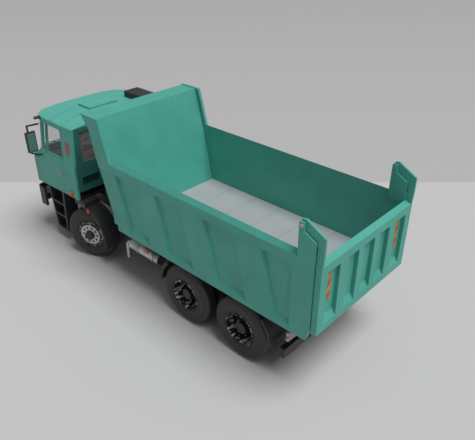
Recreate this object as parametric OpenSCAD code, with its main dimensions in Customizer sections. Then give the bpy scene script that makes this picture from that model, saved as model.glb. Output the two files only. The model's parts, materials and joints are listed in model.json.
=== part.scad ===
// Six-wheel-drive tipper lorry, a 1:32 card model.
// X points forward, Y to the truck's left, Z up. Every module is drawn with
// X = 0 at the front axle and Z = 0 at the ground; place() then moves the
// whole truck so that X = 0 is halfway between its foremost and rearmost points.

/* [Wheels] */
// Radius of every tyre
tyre_r = 17.7; // [16.8:0.1:17.9]
// Width of one tyre
tyre_w = 9.4; // [8:0.1:10]
// Radius of the rim seat inside a tyre
rim_r = 9.3; // [8.6:0.1:10.5]
// Distance from the middle of the truck to the outer face of the twin tyres
twin_face_y = 38.4; // [37:0.1:39]
// Distance from the middle of the truck to the outer face of a front tyre set straight
front_face_y = 37.4; // [36.4:0.1:38]
// Gap between the two tyres of a twin wheel
twin_gap = 1.4; // [0.8:0.1:2.4]
// Radius of the stub that a wheel turns on
stub_r = 1.55; // [1.3:0.05:1.8]
// Angle by which the front wheels stand turned to the left
steer_rest = 22; // [0:1:26]

/* [Axles and frame] */
// Front axle to middle axle
wheelbase = 94; // [90:0.5:104]
// Middle axle to rear axle
bogie = 40.5; // [38:0.5:44]
// Distance from the middle of the truck to a kingpin
kingpin_y = 31.2; // [30.6:0.1:31.6]
// Radius of the kingpins
kingpin_r = 1.1; // [0.9:0.05:1.3]
// Radius of the backbone tube
backbone_r = 4.2; // [3.6:0.1:4.8]
// Radius of the half-axle tubes
axle_r = 2.4; // [2:0.1:2.8]
// Distance from the middle of the truck to the inner face of a frame rail
rail_y = 11.5; // [11:0.1:12]
// Thickness of a frame rail
rail_w = 2; // [1.6:0.1:2.2]
// Height of the underside of the frame rails
rail_z = 25; // [24:0.1:26]
// Height of a frame rail's section
rail_h = 7; // [6:0.1:7.4]

/* [Cab] */
// Front axle to the cab's rear wall, which stands ahead of it
cab_back = 3.8; // [2:0.1:5]
// Length of the cab from rear wall to front panel
cab_len = 53; // [50:0.5:56]
// Half the width of the cab below its belt line
cab_half = 38; // [37:0.1:39]
// Half the width of the cab at the edge of its roof
roof_half = 35.8; // [34.8:0.1:36.8]
// Height of the cab's lower edge
cab_bottom = 40.6; // [40:0.1:42]
// Height of the belt line under the side windows
belt_z = 64; // [62:0.1:66]
// Height of the roof's side edge
eaves_z = 87; // [86:0.1:88]
// Rise of the roof from its side edge to the middle
roof_crown = 3; // [2:0.1:4]
// Length by which the windscreen leans back over its height
screen_lean = 9.5; // [7:0.5:11]
// Thickness of the cab's walls
cab_wall = 1.4; // [1:0.1:1.8]
// Thickness of the window film
glass_t = 0.5; // [0.4:0.1:0.8]

/* [Load bed] */
// Front axle to the rear edge of the bed's sides
bed_rear = 176.6; // [172:0.1:180]
// Height of the load floor
floor_z = 46; // [45:0.1:48]
// Height of the rail along the top of the sides
bed_rail_z = 81.2; // [79:0.1:84]
// Height of the front wall and its ears
bed_top_z = 103.1; // [100:0.1:106]
// Height of the lower edge of the sides
bed_bottom_z = 36.2; // [36:0.1:37]
// Half the outer width of the bed over its side rails
bed_half = 38.7; // [38:0.1:39.5]
// Half the inner width of the bed at its floor
bed_inner = 34.7; // [34:0.1:35.2]
// How far each side leans out from the floor to its top rail
side_lean = 2.1; // [1.5:0.1:2.4]
// Thickness of the floor
floor_t = 1.6; // [1.2:0.1:2]
// Thickness of the front wall
front_wall_t = 3; // [2:0.1:4]
// Depth of the pressed bays in the sides
bay_depth = 1.4; // [0.8:0.1:1.6]
// Backward slope of the ribs, as length over height
rib_slope = 0.245; // [0.2:0.005:0.4]

/* [Tailgate] */
// Thickness of the tailgate
gate_t = 3; // [2.4:0.1:3.4]
// Gap between the tailgate and the ends of the sides
gate_gap = 0.4; // [0.3:0.1:0.8]
// Height of the tailgate's lower edge
gate_bottom_z = 41.2; // [40.4:0.1:42]
// Height of the tailgate's upper edge at the load side
gate_top_z = 78.9; // [77:0.1:80]
// Radius of the tailgate's hinge pins
gate_pin_r = 0.7; // [0.5:0.05:0.9]
// Thickness of an arm that carries the tailgate
arm_t = 1.1; // [0.9:0.1:1.2]

/* [Tipping gear] */
// Height of the shaft that the bed tips about
tip_z = 37; // [36.8:0.1:38]
// Radius of the shaft that the bed tips about
tip_r = 1.5; // [1.2:0.05:1.6]
// Distance from the rear axle back to that shaft
tip_behind = 23.5; // [22:0.5:25]
// Radius of the hoist's barrel
barrel_r = 2.7; // [2.4:0.1:3]
// Radius of the hoist's rod
rod_r = 1.5; // [1.2:0.05:1.7]

/* [Hidden] */
$fn = 64;

// Overlap that makes a cut go cleanly through a face
eps = 0.05;
// Gap between pieces that only lie against each other
seat_gap = 0.1;
// Radial running clearance of every shaft
run_gap = 0.05;
// Gap between moving pieces side by side
side_gap = 0.3;

body_green = "#4fa595";
body_dark = "#3d8376";
black = "#1d1c1c";
chrome = "#c9c9cb";
tyre_black = "#333333";
rim_white = "#dcdcda";
floor_grey = "#9d9d9b";

// Places along X
middle_x = -wheelbase;
rear_x = -wheelbase - bogie;
bed_end_x = -bed_rear;
gate_x = bed_end_x - gate_gap;
tip_x = rear_x - tip_behind;
cab_front_x = cab_back + cab_len;
bumper_front_x = cab_front_x + 2.4;
arm_end_x = gate_x - gate_t - 0.4;
axle_to_middle = -(bumper_front_x + arm_end_x) / 2;
axle_z = tyre_r;

// Sides of the truck, left first
SIDES = [1, -1];

// ---- helpers ---------------------------------------------------------------

// Moves the truck so that its middle lies at X = 0
module place() {
  translate([axle_to_middle, 0, 0]) children();
}

// Extrudes an outline of X and Z sideways from y0 to y1
module across(y0, y1) {
  translate([0, y1, 0]) rotate([90, 0, 0]) linear_extrude(y1 - y0) children();
}

// Extrudes an outline of Y and Z along the truck from x0 to x1
module along(x0, x1) {
  translate([x0, 0, 0]) rotate([90, 0, 90]) linear_extrude(x1 - x0) children();
}

// A box between two corners
module block(low, high) {
  translate(low) cube(high - low);
}

// A round bar along Y
module bar_y(x, z, r, y0, y1) {
  translate([x, y0, z]) rotate([-90, 0, 0]) cylinder(r = r, h = y1 - y0);
}

// A round bar along X
module bar_x(y, z, r, x0, x1) {
  translate([x0, y, z]) rotate([0, 90, 0]) cylinder(r = r, h = x1 - x0);
}

// The same piece on the left or, mirrored, on the right
module on_side(side) {
  if (side > 0) children();
  else mirror([0, 1, 0]) children();
}

// ---- wheels ----------------------------------------------------------------

barrel_out = rim_r - seat_gap;
barrel_in = barrel_out - 0.9;
hub_r = 3.2;
disc_t = 1.2;

// Half section of a tyre: radius and width, centred on its middle plane
module tyre_section() {
  half = tyre_w / 2;
  shoulder = 1.1;
  polygon([[rim_r, 0.8 - half], [rim_r + 1.4, -half], [tyre_r - 3.4, -half], [tyre_r - 0.9, shoulder - half],
    [tyre_r, 2.4 - half], [tyre_r, half - 2.4], [tyre_r - 0.9, half - shoulder], [tyre_r - 3.4, half],
    [rim_r + 1.4, half], [rim_r, half - 0.8]]);
}

// A tyre whose axle is Y, with its middle plane at y
module tyre(y) {
  color(tyre_black) translate([0, y, 0]) rotate([-90, 0, 0]) rotate_extrude() tyre_section();
}

// A turned piece about Y from an outline of radius and Y
module turned_y() {
  rotate([-90, 0, 0]) rotate_extrude() children();
}

// Front wheel, in its own frame: the kingpin at the origin, outward is +Y
front_tyre_y = front_face_y - tyre_w / 2 - kingpin_y;
front_disc_y = front_tyre_y + tyre_w / 2 + 0.4;
front_cap_y = front_disc_y + 2;
front_stub_y = front_cap_y - 1.4;
front_hub_y = 2.6;

module front_rim() {
  rim_in = front_tyre_y - tyre_w / 2 + 0.4;
  rim_out = front_tyre_y + tyre_w / 2 - 0.3;
  disc_r = 7;
  color(rim_white) difference() {
    turned_y() polygon([[0, front_hub_y], [hub_r, front_hub_y], [hub_r, rim_out - disc_t],
      [barrel_in, rim_out - disc_t - 1], [barrel_in, rim_in], [barrel_out, rim_in], [barrel_out, rim_out],
      [disc_r + 0.6, rim_out], [disc_r, front_disc_y], [hub_r, front_disc_y], [hub_r - 0.4, front_cap_y],
      [0, front_cap_y]]);
    bar_y(0, 0, stub_r + run_gap, front_hub_y - eps, front_stub_y + side_gap);
    for (i = [0 : 9]) rotate([0, i * 36, 0]) bar_y(5.1, 0, 0.55, front_disc_y - 0.5, front_disc_y + eps);
  }
}

// Twin wheel, in its own frame: Y is measured from the truck's middle
twin_outer_y = twin_face_y - tyre_w / 2;
twin_inner_y = twin_outer_y - tyre_w - twin_gap;
twin_cap_y = twin_face_y - 1.6;
twin_stub_y = twin_cap_y - 1.4;
twin_hub_y = twin_inner_y + 0.9;
drum_y = twin_hub_y - 0.6;

module twin_tyres() {
  tyre(twin_outer_y);
  tyre(twin_inner_y);
}

module twin_rims() {
  rim_in = twin_inner_y - tyre_w / 2 + 0.4;
  rim_out = twin_face_y - 0.4;
  disc_y = twin_outer_y - tyre_w / 2 + 1.2;
  color(rim_white) difference() {
    turned_y() polygon([[0, twin_hub_y], [hub_r, twin_hub_y], [hub_r, disc_y - disc_t],
      [barrel_in, disc_y - disc_t], [barrel_in, rim_in], [barrel_out, rim_in], [barrel_out, rim_out],
      [barrel_in + 0.4, rim_out], [barrel_in, disc_y], [hub_r + 0.2, disc_y], [hub_r, twin_cap_y],
      [0, twin_cap_y]]);
    bar_y(0, 0, stub_r + run_gap, twin_hub_y - eps, twin_stub_y + side_gap);
    for (i = [0 : 7]) rotate([0, i * 45, 0]) bar_y(5.8, 0, 1, disc_y - disc_t - eps, disc_y + eps);
  }
}

module at_steered(side) {
  on_side(side) translate([0, kingpin_y, axle_z]) rotate([0, 0, side * steer_rest]) children();
}

module at_wheel(x, side) {
  on_side(side) translate([x, 0, axle_z]) children();
}

// ---- axles and frame ---------------------------------------------------------

yoke_in = 3.3;
yoke_out = 4.7;
front_beam_y = kingpin_y - 5;

// One front corner's swivel: block, kingpin and the stub the wheel turns on
module knuckle() {
  color(black) union() {
    translate([0, 0, -yoke_out]) cylinder(r = kingpin_r, h = 2 * yoke_out);
    translate([0, 0, -yoke_in + side_gap]) cylinder(r = 2, h = 2 * (yoke_in - side_gap));
    bar_y(0, 0, stub_r, 0, front_stub_y);
    bar_y(0, 0, 2.3, 0, front_hub_y - side_gap);
  }
}

module front_axle() {
  color(black) difference() {
    union() {
      bar_y(0, axle_z, axle_r, -front_beam_y, front_beam_y);
      for (side = SIDES) on_side(side) {
        block([-2, front_beam_y - 1.2, axle_z - yoke_out], [2, front_beam_y, axle_z + yoke_out]);
        for (z = [-yoke_out, yoke_in])
          block([-2, front_beam_y - 1.2, axle_z + z], [2, kingpin_y, axle_z + z + yoke_out - yoke_in]);
        translate([0, kingpin_y, axle_z - yoke_out]) cylinder(r = 2, h = yoke_out - yoke_in);
        translate([0, kingpin_y, axle_z + yoke_in]) cylinder(r = 2, h = yoke_out - yoke_in);
      }
    }
    for (side = SIDES) translate([0, side * kingpin_y, axle_z - yoke_out - eps])
      cylinder(r = kingpin_r + run_gap, h = 2 * yoke_out + 2 * eps);
  }
}

// A pair of half axles in one tube, with the drums and stubs of the twin wheels
module driven_axle(x) {
  color(black) union() {
    bar_y(x, axle_z, axle_r, -drum_y, drum_y);
    for (side = SIDES) on_side(side) {
      bar_y(x, axle_z, stub_r, 0, twin_stub_y);
      bar_y(x, axle_z, 6.6, drum_y - 3.4, drum_y);
      bar_y(x, axle_z, hub_r - 0.6, drum_y, twin_hub_y - side_gap);
    }
  }
}

housing_r = 6.4;
housing_half = 5.5;
tube_tail = 12;
tube_nose = 12;

module backbone_tube() {
  color(black) difference() {
    union() {
      bar_x(0, axle_z, backbone_r, rear_x - tube_tail, tube_nose);
      for (x = [0, middle_x, rear_x]) bar_y(x, axle_z, housing_r, -housing_half, housing_half);
    }
    for (x = [0, middle_x, rear_x])
      bar_y(x, axle_z, axle_r + seat_gap / 2, -housing_half - eps, housing_half + eps);
  }
}

rail_front_x = cab_front_x - 3.4;
rail_rear_x = tip_x - 5;
rail_top = rail_z + rail_h;
rail_out = rail_y + rail_w;
hoist_base_x = -54;
hoist_base_z = 27;
hoist_pin_r = 1;
hoist_eye_half = 2;
member_h = 1.4;

// A cross member with a saddle that lies on the backbone tube
module saddle(x) {
  difference() {
    block([x - 2, -rail_y - eps, backbone_r + axle_z - 1.6], [x + 2, rail_y + eps, rail_z + member_h]);
    bar_x(0, axle_z, backbone_r + seat_gap, x - 3, x + 3);
  }
}

module frame_rails() {
  lug_t = 2;
  lug_y = hoist_eye_half + side_gap;
  color(black) difference() {
    union() {
      for (side = SIDES) on_side(side) {
        block([rail_rear_x, rail_y, rail_z], [rail_front_x, rail_out, rail_top]);
        block([tip_x - 4, rail_y, rail_top - eps], [tip_x + 4, rail_out, tip_z]);
        bar_y(tip_x, tip_z, 4, rail_y, rail_out);
        block([hoist_base_x - 2.5, lug_y, rail_z], [hoist_base_x + 2.5, lug_y + lug_t, rail_z + 4.5]);
      }
      for (x = [hoist_base_x - 12, (middle_x + rear_x) / 2, rear_x - tube_tail + 3]) saddle(x);
      for (x = [rail_front_x - 3, hoist_base_x, rail_rear_x + 2])
        block([x - 1.6, -rail_y - eps, rail_z], [x + 1.6, rail_y + eps, rail_z + member_h]);
      bar_y(hoist_base_x, hoist_base_z + 2, hoist_pin_r, -lug_y - 1, lug_y + 1);
    }
    bar_y(tip_x, tip_z, tip_r + run_gap, -rail_out - eps, rail_out + eps);
  }
}

// One plain block for the air-cooled engine behind and under the cab
module engine() {
  color(black) across(-rail_y + side_gap, rail_y - side_gap)
    polygon([[-30, 23.5], [-5.5, 23.5], [-5.5, 24.8], [27, 24.8], [27, 37.5], [0.5, 37.5], [-1.5, 52],
      [-28, 52], [-30, 50]]);
}

// ---- front end ---------------------------------------------------------------

bumper_z0 = 19.6;
bumper_z1 = 33;
bumper_half = 37.4;

module front_bumper() {
  wall = 1.6;
  back = bumper_front_x - 9.5;
  r = 4;
  color(black) difference() {
    union() {
      translate([0, 0, bumper_z0]) linear_extrude(bumper_z1 - bumper_z0) difference() {
        union() {
          translate([back, -bumper_half]) square([bumper_front_x - r - back, 2 * bumper_half]);
          translate([back, -bumper_half + r]) square([bumper_front_x - back, 2 * (bumper_half - r)]);
          for (side = SIDES) translate([bumper_front_x - r, side * (bumper_half - r)]) circle(r = r);
        }
        translate([back - eps, -bumper_half + wall])
          square([bumper_front_x - wall - back + eps, 2 * (bumper_half - wall)]);
      }
      for (side = SIDES) on_side(side)
        block([rail_front_x + seat_gap, rail_y, rail_z + 1],
          [bumper_front_x - wall + eps, rail_out, rail_top - 1]);
    }
    for (side = SIDES) on_side(side)
      block([bumper_front_x - wall - eps, 22, 24], [bumper_front_x + eps, 32, 30]);
  }
}

module head_lamps() {
  color("#e8e8e4") for (side = SIDES) on_side(side)
    block([bumper_front_x - 1.4, 22.1, 24.1], [bumper_front_x - 0.2, 31.9, 29.9]);
}

step_x0 = 23;
step_x1 = 42;
step_z0 = 8;
step_y0 = 28;
step_y1 = 37.4;

// Height just under the sloping sill at x, with room for the width of an upright
function sill(x) = cab_bottom - sill_drop * (x + 2.5 - sill_x) / (side_front_x - sill_x) - seat_gap;

module entry_step() {
  side_t = 1.2;
  tread_t = 1.2;
  color(black) union() {
    across(step_y0, step_y1) polygon([[step_x0, sill(step_x0)], [step_x0 + side_t + 1, sill(step_x0)],
      [step_x0 + side_t + 3, step_z0], [step_x0 + 3, step_z0]]);
    across(step_y0, step_y1) polygon([[step_x1 - side_t, sill(step_x1)], [step_x1, sill(step_x1)],
      [step_x1 - 4, step_z0], [step_x1 - 4 - side_t, step_z0]]);
    for (tread = [[step_z0, 3.2, 4.4], [18.4, 1.8, 2.8], [28, 1, 1.6]])
      block([step_x0 + tread[1], step_y0 + 0.5, tread[0]], [step_x1 - tread[2], step_y1, tread[0] + tread_t]);
  }
}

guard_gap = 1.4;
guard_t = 1;
guard_y0 = 26.5;
guard_y1 = 37.8;

// A piece of a ring about an axle, from angle a0 to a1 measured from straight ahead and up
module guard_arc(x, r, a0, a1, y0, y1) {
  translate([x, y1, axle_z]) rotate([90, 0, 0]) rotate([0, 0, a0])
    rotate_extrude(angle = a1 - a0) translate([r, 0]) square([guard_t, y1 - y0]);
}

module front_mudguard() {
  r = tyre_r + guard_gap;
  color(black) union() {
    difference() {
      guard_arc(0, r, 86, 190, guard_y0, guard_y1);
      block([-40, 0, cab_bottom - 0.3], [40, 50, 60]);
    }
    block([-2, guard_y0, axle_z + r + guard_t - 0.4], [9, guard_y1, cab_bottom - 0.3]);
    block([4, guard_y0, cab_bottom - 0.4], [9, guard_y1, cab_bottom - seat_gap]);
  }
}

// Two fenders on each side: ahead of the middle wheels and behind the rear wheels
module rear_mudguards() {
  r = tyre_r + 1.8;
  low = rail_z + 1;
  color(black) for (side = SIDES) on_side(side) {
    guard_arc(middle_x, r, 4, 47, 18.4, guard_y1);
    block([middle_x + r - 2.2, rail_out + seat_gap, low], [middle_x + r - 0.4, 18.6, low + 3]);
    guard_arc(rear_x, r, 135, 176, 18.4, guard_y1);
    block([rear_x - r + 0.4, rail_out + seat_gap, low], [rear_x - r + 2.2, 18.6, low + 3]);
  }
}

// ---- things hung on the frame ------------------------------------------------

module battery_box() {
  color(black) union() {
    block([-36, rail_out + 1.5, 17], [-23, silencer_y - pipe_r - 0.5, 33.5]);
    block([-33, rail_out + seat_gap, 26], [-26, rail_out + 1.6, 31]);
  }
}

silencer_x0 = -65.5;
silencer_x1 = -39.5;
silencer_y = 30;
silencer_z = 24;
silencer_r = 3.6;
pipe_r = 1.3;

module silencer() {
  color(chrome) union() {
    bar_x(silencer_y, silencer_z, silencer_r, silencer_x0, silencer_x1);
    for (x = [silencer_x0 + 4, silencer_x1 - 8]) {
      bar_x(silencer_y, silencer_z, silencer_r + 0.4, x, x + 1.2);
      block([x, rail_out + seat_gap, silencer_z + 1], [x + 1.2, silencer_y - 2, silencer_z + 3.4]);
    }
  }
}

module tail_pipe() {
  bend = 4;
  color(chrome) translate([silencer_x1 + seat_gap, silencer_y, silencer_z]) union() {
    rotate([0, 90, 0]) cylinder(r = pipe_r, h = 2.2);
    translate([2.2, 0, -bend]) rotate([90, 0, 0])
      rotate_extrude(angle = 90) translate([bend, 0]) circle(r = pipe_r);
    translate([2.2 + bend, 0, -bend]) rotate([0, 180, 0]) cylinder(r = pipe_r, h = 8.6);
  }
}

module fuel_tank() {
  inner = -rail_out - seat_gap;
  color("#4a4a4a") along(-68, -38)
    polygon([[inner, 13.5], [-34, 13.5], [-36, 15.5], [-36, 31], [-34, 33], [inner, 33]]);
}

intake_y0 = 22;
intake_y1 = 33.5;

module air_intake() {
  stack_x0 = -9;
  stack_x1 = 2.6;
  roof_x1 = 28;
  z0 = roof_z(intake_y0) + seat_gap;
  z1 = z0 + 4;
  color(black) mirror([0, 1, 0]) across(intake_y0, intake_y1)
    polygon([[stack_x0, 42.5], [stack_x1, 42.5], [stack_x1, z0], [roof_x1, z0], [roof_x1, z1],
      [stack_x0 + 3, z1], [stack_x0, z1 - 3]]);
}

module underrun_bar() {
  x1 = rail_rear_x + 3;
  half = 37;
  color(black) union() {
    block([x1 - 3, -half, 16], [x1, half, 21.5]);
    for (side = SIDES) on_side(side) block([x1 - 3, rail_y, 21.4], [x1, rail_out, rail_z - seat_gap]);
  }
}

module tail_lamps() {
  x1 = rail_rear_x + 1;
  color("#b8433a") for (side = SIDES) on_side(side) union() {
    block([x1 - 1.4, 22, 25.5], [x1, 35, 30.5]);
    block([x1 - 1.4, rail_out + seat_gap, 27], [x1, 22.2, 29]);
  }
}

// ---- cab -----------------------------------------------------------------------

belt_drop = 58;
corner_r = 11;
panel_r = 5;
roof_corner_r = 9;
brow_r = 2.4;

// Outline of the cab seen from above, rounded at the front corners
module cab_plan(half, front, r) {
  translate([cab_back, -half]) square([front - r - cab_back, 2 * half]);
  translate([cab_back, -half + r]) square([front - cab_back, 2 * (half - r)]);
  for (side = SIDES) translate([front - r, side * (half - r)]) circle(r = r);
}

// Where the wall leans in above the belt, and how far the sill drops towards the front
belt_y = cab_half - 0.7;
sill_drop = 1.6;
sill_x = cab_back + 12;

// Section of one side wall: upright below the belt, leaning in above it
module side_section() {
  t = cab_wall;
  low = cab_bottom - sill_drop;
  polygon([[cab_half - t, low], [cab_half, low], [cab_half, belt_z - 1], [belt_y, belt_z],
    [roof_half, eaves_z], [roof_half - t, eaves_z], [belt_y - t, belt_z], [cab_half - t, belt_z - 1]]);
}

side_front_x = cab_front_x - panel_r;
pillar_x = cab_front_x - corner_r;
pillar_lean = 3.4;
window_x0 = 17;
window_x1 = 33;
quarter_x0 = 34.2;
quarter_x1 = 39.4;
divider_lean = 2.2;
pillar_top_x = quarter_x1 + 0.4;
pillar_low_x = quarter_x1 + 2.2;

// Outline of the two openings in a side wall
module side_openings(inset) {
  i = inset;
  low = belt_z + 1.2 + i;
  high = eaves_z - 3 - i;
  polygon([[window_x0 + i, low], [window_x1 + divider_lean - i, low], [window_x1 - i, high],
    [window_x0 + 1 + i, high], [window_x0 + i, high - 2]]);
  polygon([[quarter_x0 + divider_lean + i, low], [quarter_x1 - i, low], [quarter_x1 + 0.4 - i, low + 2],
    [quarter_x1 - 1.6 - i, high], [quarter_x0 + i, high]]);
}

// Outline of a whole side wall: back, sill, front, then the slope down from the eaves
module side_outline() {
  polygon([[cab_back, cab_bottom], [sill_x, cab_bottom], [side_front_x, cab_bottom - sill_drop],
    [side_front_x, belt_drop - 1], [pillar_x, belt_drop - 1], [pillar_x, belt_drop],
    [pillar_x - pillar_lean, belt_z],
    [pillar_low_x, belt_z + 4], [pillar_top_x, eaves_z], [cab_back, eaves_z]]);
}

module cab_side() {
  color(body_green) difference() {
    intersection() {
      along(cab_back, side_front_x) side_section();
      across(0, 50) side_outline();
    }
    across(0, 50) side_openings(0);
  }
}

module side_windows() {
  in = (cab_wall + glass_t) / 2;
  out = (cab_wall - glass_t) / 2;
  color([0.75, 0.82, 0.82, 0.4]) for (side = SIDES) on_side(side) intersection() {
    along(window_x0, quarter_x1 + 1) polygon([[belt_y - in, belt_z], [belt_y - out, belt_z],
      [roof_half - out, eaves_z], [roof_half - in, eaves_z]]);
    across(0, 50) side_openings(seat_gap);
  }
}

module cab_rear_wall() {
  t = cab_wall;
  in = cab_wall + seat_gap;
  color(body_dark) difference() {
    along(cab_back, cab_back + t) polygon([[in - cab_half, cab_bottom + 5], [cab_half - in, cab_bottom + 5],
      [cab_half - in, belt_z - 1], [belt_y - in, belt_z], [roof_half - in, eaves_z],
      [in - roof_half, eaves_z], [in - belt_y, belt_z], [in - cab_half, belt_z - 1]]);
    for (side = SIDES) on_side(side) {
      block([cab_back - eps, 7, belt_z + 1], [cab_back + t + eps, 31, eaves_z - 2.6]);
      block([cab_back - eps, 21, belt_z - 14], [cab_back + 0.8, 33, belt_z - 9]);
    }
  }
}

module rear_windows() {
  color([0.75, 0.82, 0.82, 0.4]) for (side = SIDES) on_side(side)
    block([cab_back + 0.4, 7.1, belt_z + 1.1], [cab_back + 0.4 + glass_t, 30.9, eaves_z - 2.7]);
}

module cab_floor() {
  in = cab_wall + seat_gap;
  color(black) union() {
    translate([0, 0, cab_bottom]) linear_extrude(1.4) intersection() {
      cab_plan(cab_half - in, cab_front_x - in, panel_r - in);
      translate([cab_back, -cab_half]) square([cab_len, 2 * cab_half]);
    }
    for (x = [8, rail_front_x - 8], side = SIDES) on_side(side)
      block([x, rail_y, rail_top + seat_gap], [x + 4, rail_out, cab_bottom + eps]);
  }
}

// Lower front panel and the frame round the windscreen, rounded at the corners
screen_angle = atan2(screen_lean, eaves_z - belt_drop);
screen_h = (eaves_z - belt_drop) / cos(screen_angle);

// A sheet that follows the rounded front, leaning back from the belt, and cut off at the height low
module screen_sheet(inset, t, z0, z1, low) {
  ahead = 2 * seat_gap;
  intersection() {
    translate([cab_front_x, 0, belt_drop]) rotate([0, -screen_angle, 0]) translate([-cab_front_x, 0, z0])
      linear_extrude(z1 - z0) difference() {
        cab_plan(cab_half - 1.2 - inset, cab_front_x - inset, corner_r);
        cab_plan(cab_half - 1.2 - inset - t, cab_front_x - inset - t, corner_r - t);
      }
    across(-cab_half, cab_half) polygon([[pillar_x + ahead, low], [pillar_x + ahead, belt_drop],
      [pillar_x - pillar_lean + ahead, belt_z], [pillar_low_x + ahead, belt_z + 4],
      [pillar_top_x + ahead, eaves_z], [pillar_top_x + ahead, eaves_z + 5], [cab_front_x + 5, eaves_z + 5],
      [cab_front_x + 5, low]]);
  }
}

module cab_front() {
  t = cab_wall;
  ledge_t = 1.2;
  sill_z = cab_bottom - sill_drop;
  color(body_green) union() {
    translate([0, 0, sill_z]) linear_extrude(belt_drop - sill_z) intersection() {
      difference() {
        cab_plan(cab_half, cab_front_x, panel_r);
        cab_plan(cab_half - t, cab_front_x - t, panel_r - t);
      }
      translate([side_front_x + seat_gap, -cab_half]) square([panel_r, 2 * cab_half]);
    }
    translate([0, 0, belt_drop - ledge_t]) linear_extrude(ledge_t) intersection() {
      difference() {
        cab_plan(cab_half - t - seat_gap, cab_front_x - eps, panel_r - t);
        cab_plan(cab_half - 2 * t, cab_front_x - 2 * t, corner_r - 2 * t);
      }
      translate([pillar_x + seat_gap, -cab_half]) square([corner_r, 2 * cab_half]);
    }
    screen_sheet(0, t, -ledge_t, 3, belt_drop - ledge_t / 2);
  }
}

module windscreen() {
  color([0.75, 0.82, 0.82, 0.4])
    screen_sheet(0.4, glass_t, 3 + seat_gap, screen_h - 1.2, belt_drop + seat_gap);
}

// Radius of the crowned roof, and the height of its face at y
roof_r = (roof_half * roof_half + roof_crown * roof_crown) / (2 * roof_crown);
function roof_z(y) = eaves_z + roof_crown - roof_r + sqrt(roof_r * roof_r - y * y);

// Crowned roof with rounded front corners
module roof_section(drop) {
  intersection() {
    translate([0, eaves_z + roof_crown - roof_r]) circle(r = roof_r - drop, $fn = 200);
    translate([-roof_half + drop, eaves_z - 1]) square([2 * (roof_half - drop), 10]);
  }
}

roof_front_x = cab_front_x - screen_lean + 0.8;

// Outline of X and Z that rounds the roof off towards the windscreen
module roof_brow() {
  translate([cab_back, eaves_z]) square([roof_front_x - brow_r - cab_back, roof_crown + 1]);
  translate([cab_back, eaves_z - 1]) square([roof_front_x - cab_back, roof_crown - brow_r + 1]);
  translate([roof_front_x - brow_r, eaves_z + roof_crown - brow_r]) circle(r = brow_r);
}

module cab_roof() {
  color(body_green) intersection() {
    along(cab_back, cab_front_x) roof_section(0);
    translate([0, 0, eaves_z + seat_gap]) linear_extrude(20) cab_plan(roof_half, roof_front_x, roof_corner_r);
    across(-roof_half, roof_half) roof_brow();
  }
}

module roof_hatch() {
  half = 10.8;
  x0 = 20.6;
  x1 = 33.6;
  lid_t = 0.9;
  color(body_green) difference() {
    block([x0, -half, eaves_z], [x1, half, eaves_z + roof_crown + lid_t]);
    along(x0 - eps, x1 + eps) roof_section(-seat_gap);
  }
}

module seats() {
  z0 = cab_bottom + 1.5;
  color("#6e6c6c") for (side = SIDES) on_side(side) union() {
    block([12, 12, z0], [28, 28, z0 + 9]);
    across(12, 28) polygon([[8.5, z0 + 26], [11.5, z0 + 26], [15, z0 + 8], [12, z0]]);
  }
}

module dashboard() {
  z0 = cab_bottom + 1.5;
  color("#3a2a26") union() {
    across(-34, 34) polygon([[41, z0], [44.6, z0], [44.6, z0 + 17.4], [38, z0 + 17.4], [37.5, z0 + 12]]);
    translate([37.7, 20, z0 + 14]) rotate([0, -55, 0]) cylinder(r = 0.8, h = 7);
  }
}

module steering_wheel() {
  z0 = cab_bottom + 1.5;
  color(black) translate([37.7, 20, z0 + 14]) rotate([0, -55, 0]) translate([0, 0, 7.5]) union() {
    rotate_extrude() translate([5.6, 0]) circle(r = 0.6);
    for (i = [0 : 2]) rotate([0, 0, i * 120]) translate([0, -0.5, -0.4]) cube([5.6, 1, 0.8]);
    translate([0, 0, -0.4]) cylinder(r = 1.5, h = 0.8);
  }
}

mirror_x = 41;
mirror_reach = 47.2;

// A square rod bent to a bracket, with the mirror's housing behind its upright
module mirror_arm() {
  rod = 0.9;
  z0 = belt_z + 0.4;
  z1 = eaves_z - 4.9;
  rod_y = mirror_reach - 2.2;
  low_z = belt_z - 2.6;
  color(black) union() {
    along(mirror_x, mirror_x + rod) polygon([[cab_half + seat_gap, low_z], [rod_y - rod, z0],
      [rod_y - rod, z1], [roof_half + 0.7, z1 - 0.5], [roof_half + 0.7, z1 - 0.5 + rod],
      [rod_y, z1 + rod], [rod_y, z0 - 0.5],
      [cab_half + seat_gap, low_z - rod]]);
    block([mirror_x - 1.8, mirror_reach - 6.4, belt_z + 1.6], [mirror_x + eps, mirror_reach, belt_z + 14.8]);
  }
}

// ---- load bed ------------------------------------------------------------------

rail_rear_end = 167.8;
wall_slope = 15.2 / 55.5;
wall_foot_x = -43.1;

// X of the front wall's inner face at height z
function wall_x(z) = wall_foot_x + (z - floor_z) * wall_slope;

// Section of a side wall without its ribs, with the outer rail and the bottom rail
side_skin_y = bed_half - bay_depth - 0.5;
side_low_y = bed_half - 0.3;

module side_profile() {
  low_in = bed_inner + 1.7;
  polygon([[bed_inner, floor_z - floor_t], [bed_inner + side_lean, bed_rail_z], [bed_half, bed_rail_z - 2.6],
    [bed_half, rib_top_z], [side_skin_y, rib_top_z - 1.2], [side_skin_y, rib_low_z + 2.8],
    [side_low_y, rib_low_z], [side_low_y, bed_bottom_z], [low_in, bed_bottom_z],
    [low_in, floor_z - floor_t]]);
}

rib_top_z = bed_rail_z - 7.6;
rib_low_z = bed_bottom_z + 2.8;

rib_angle = atan(rib_slope);
rib_len = (rib_top_z - rib_low_z + 2) / cos(rib_angle) + 5;
rib_edge = 1;

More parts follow.
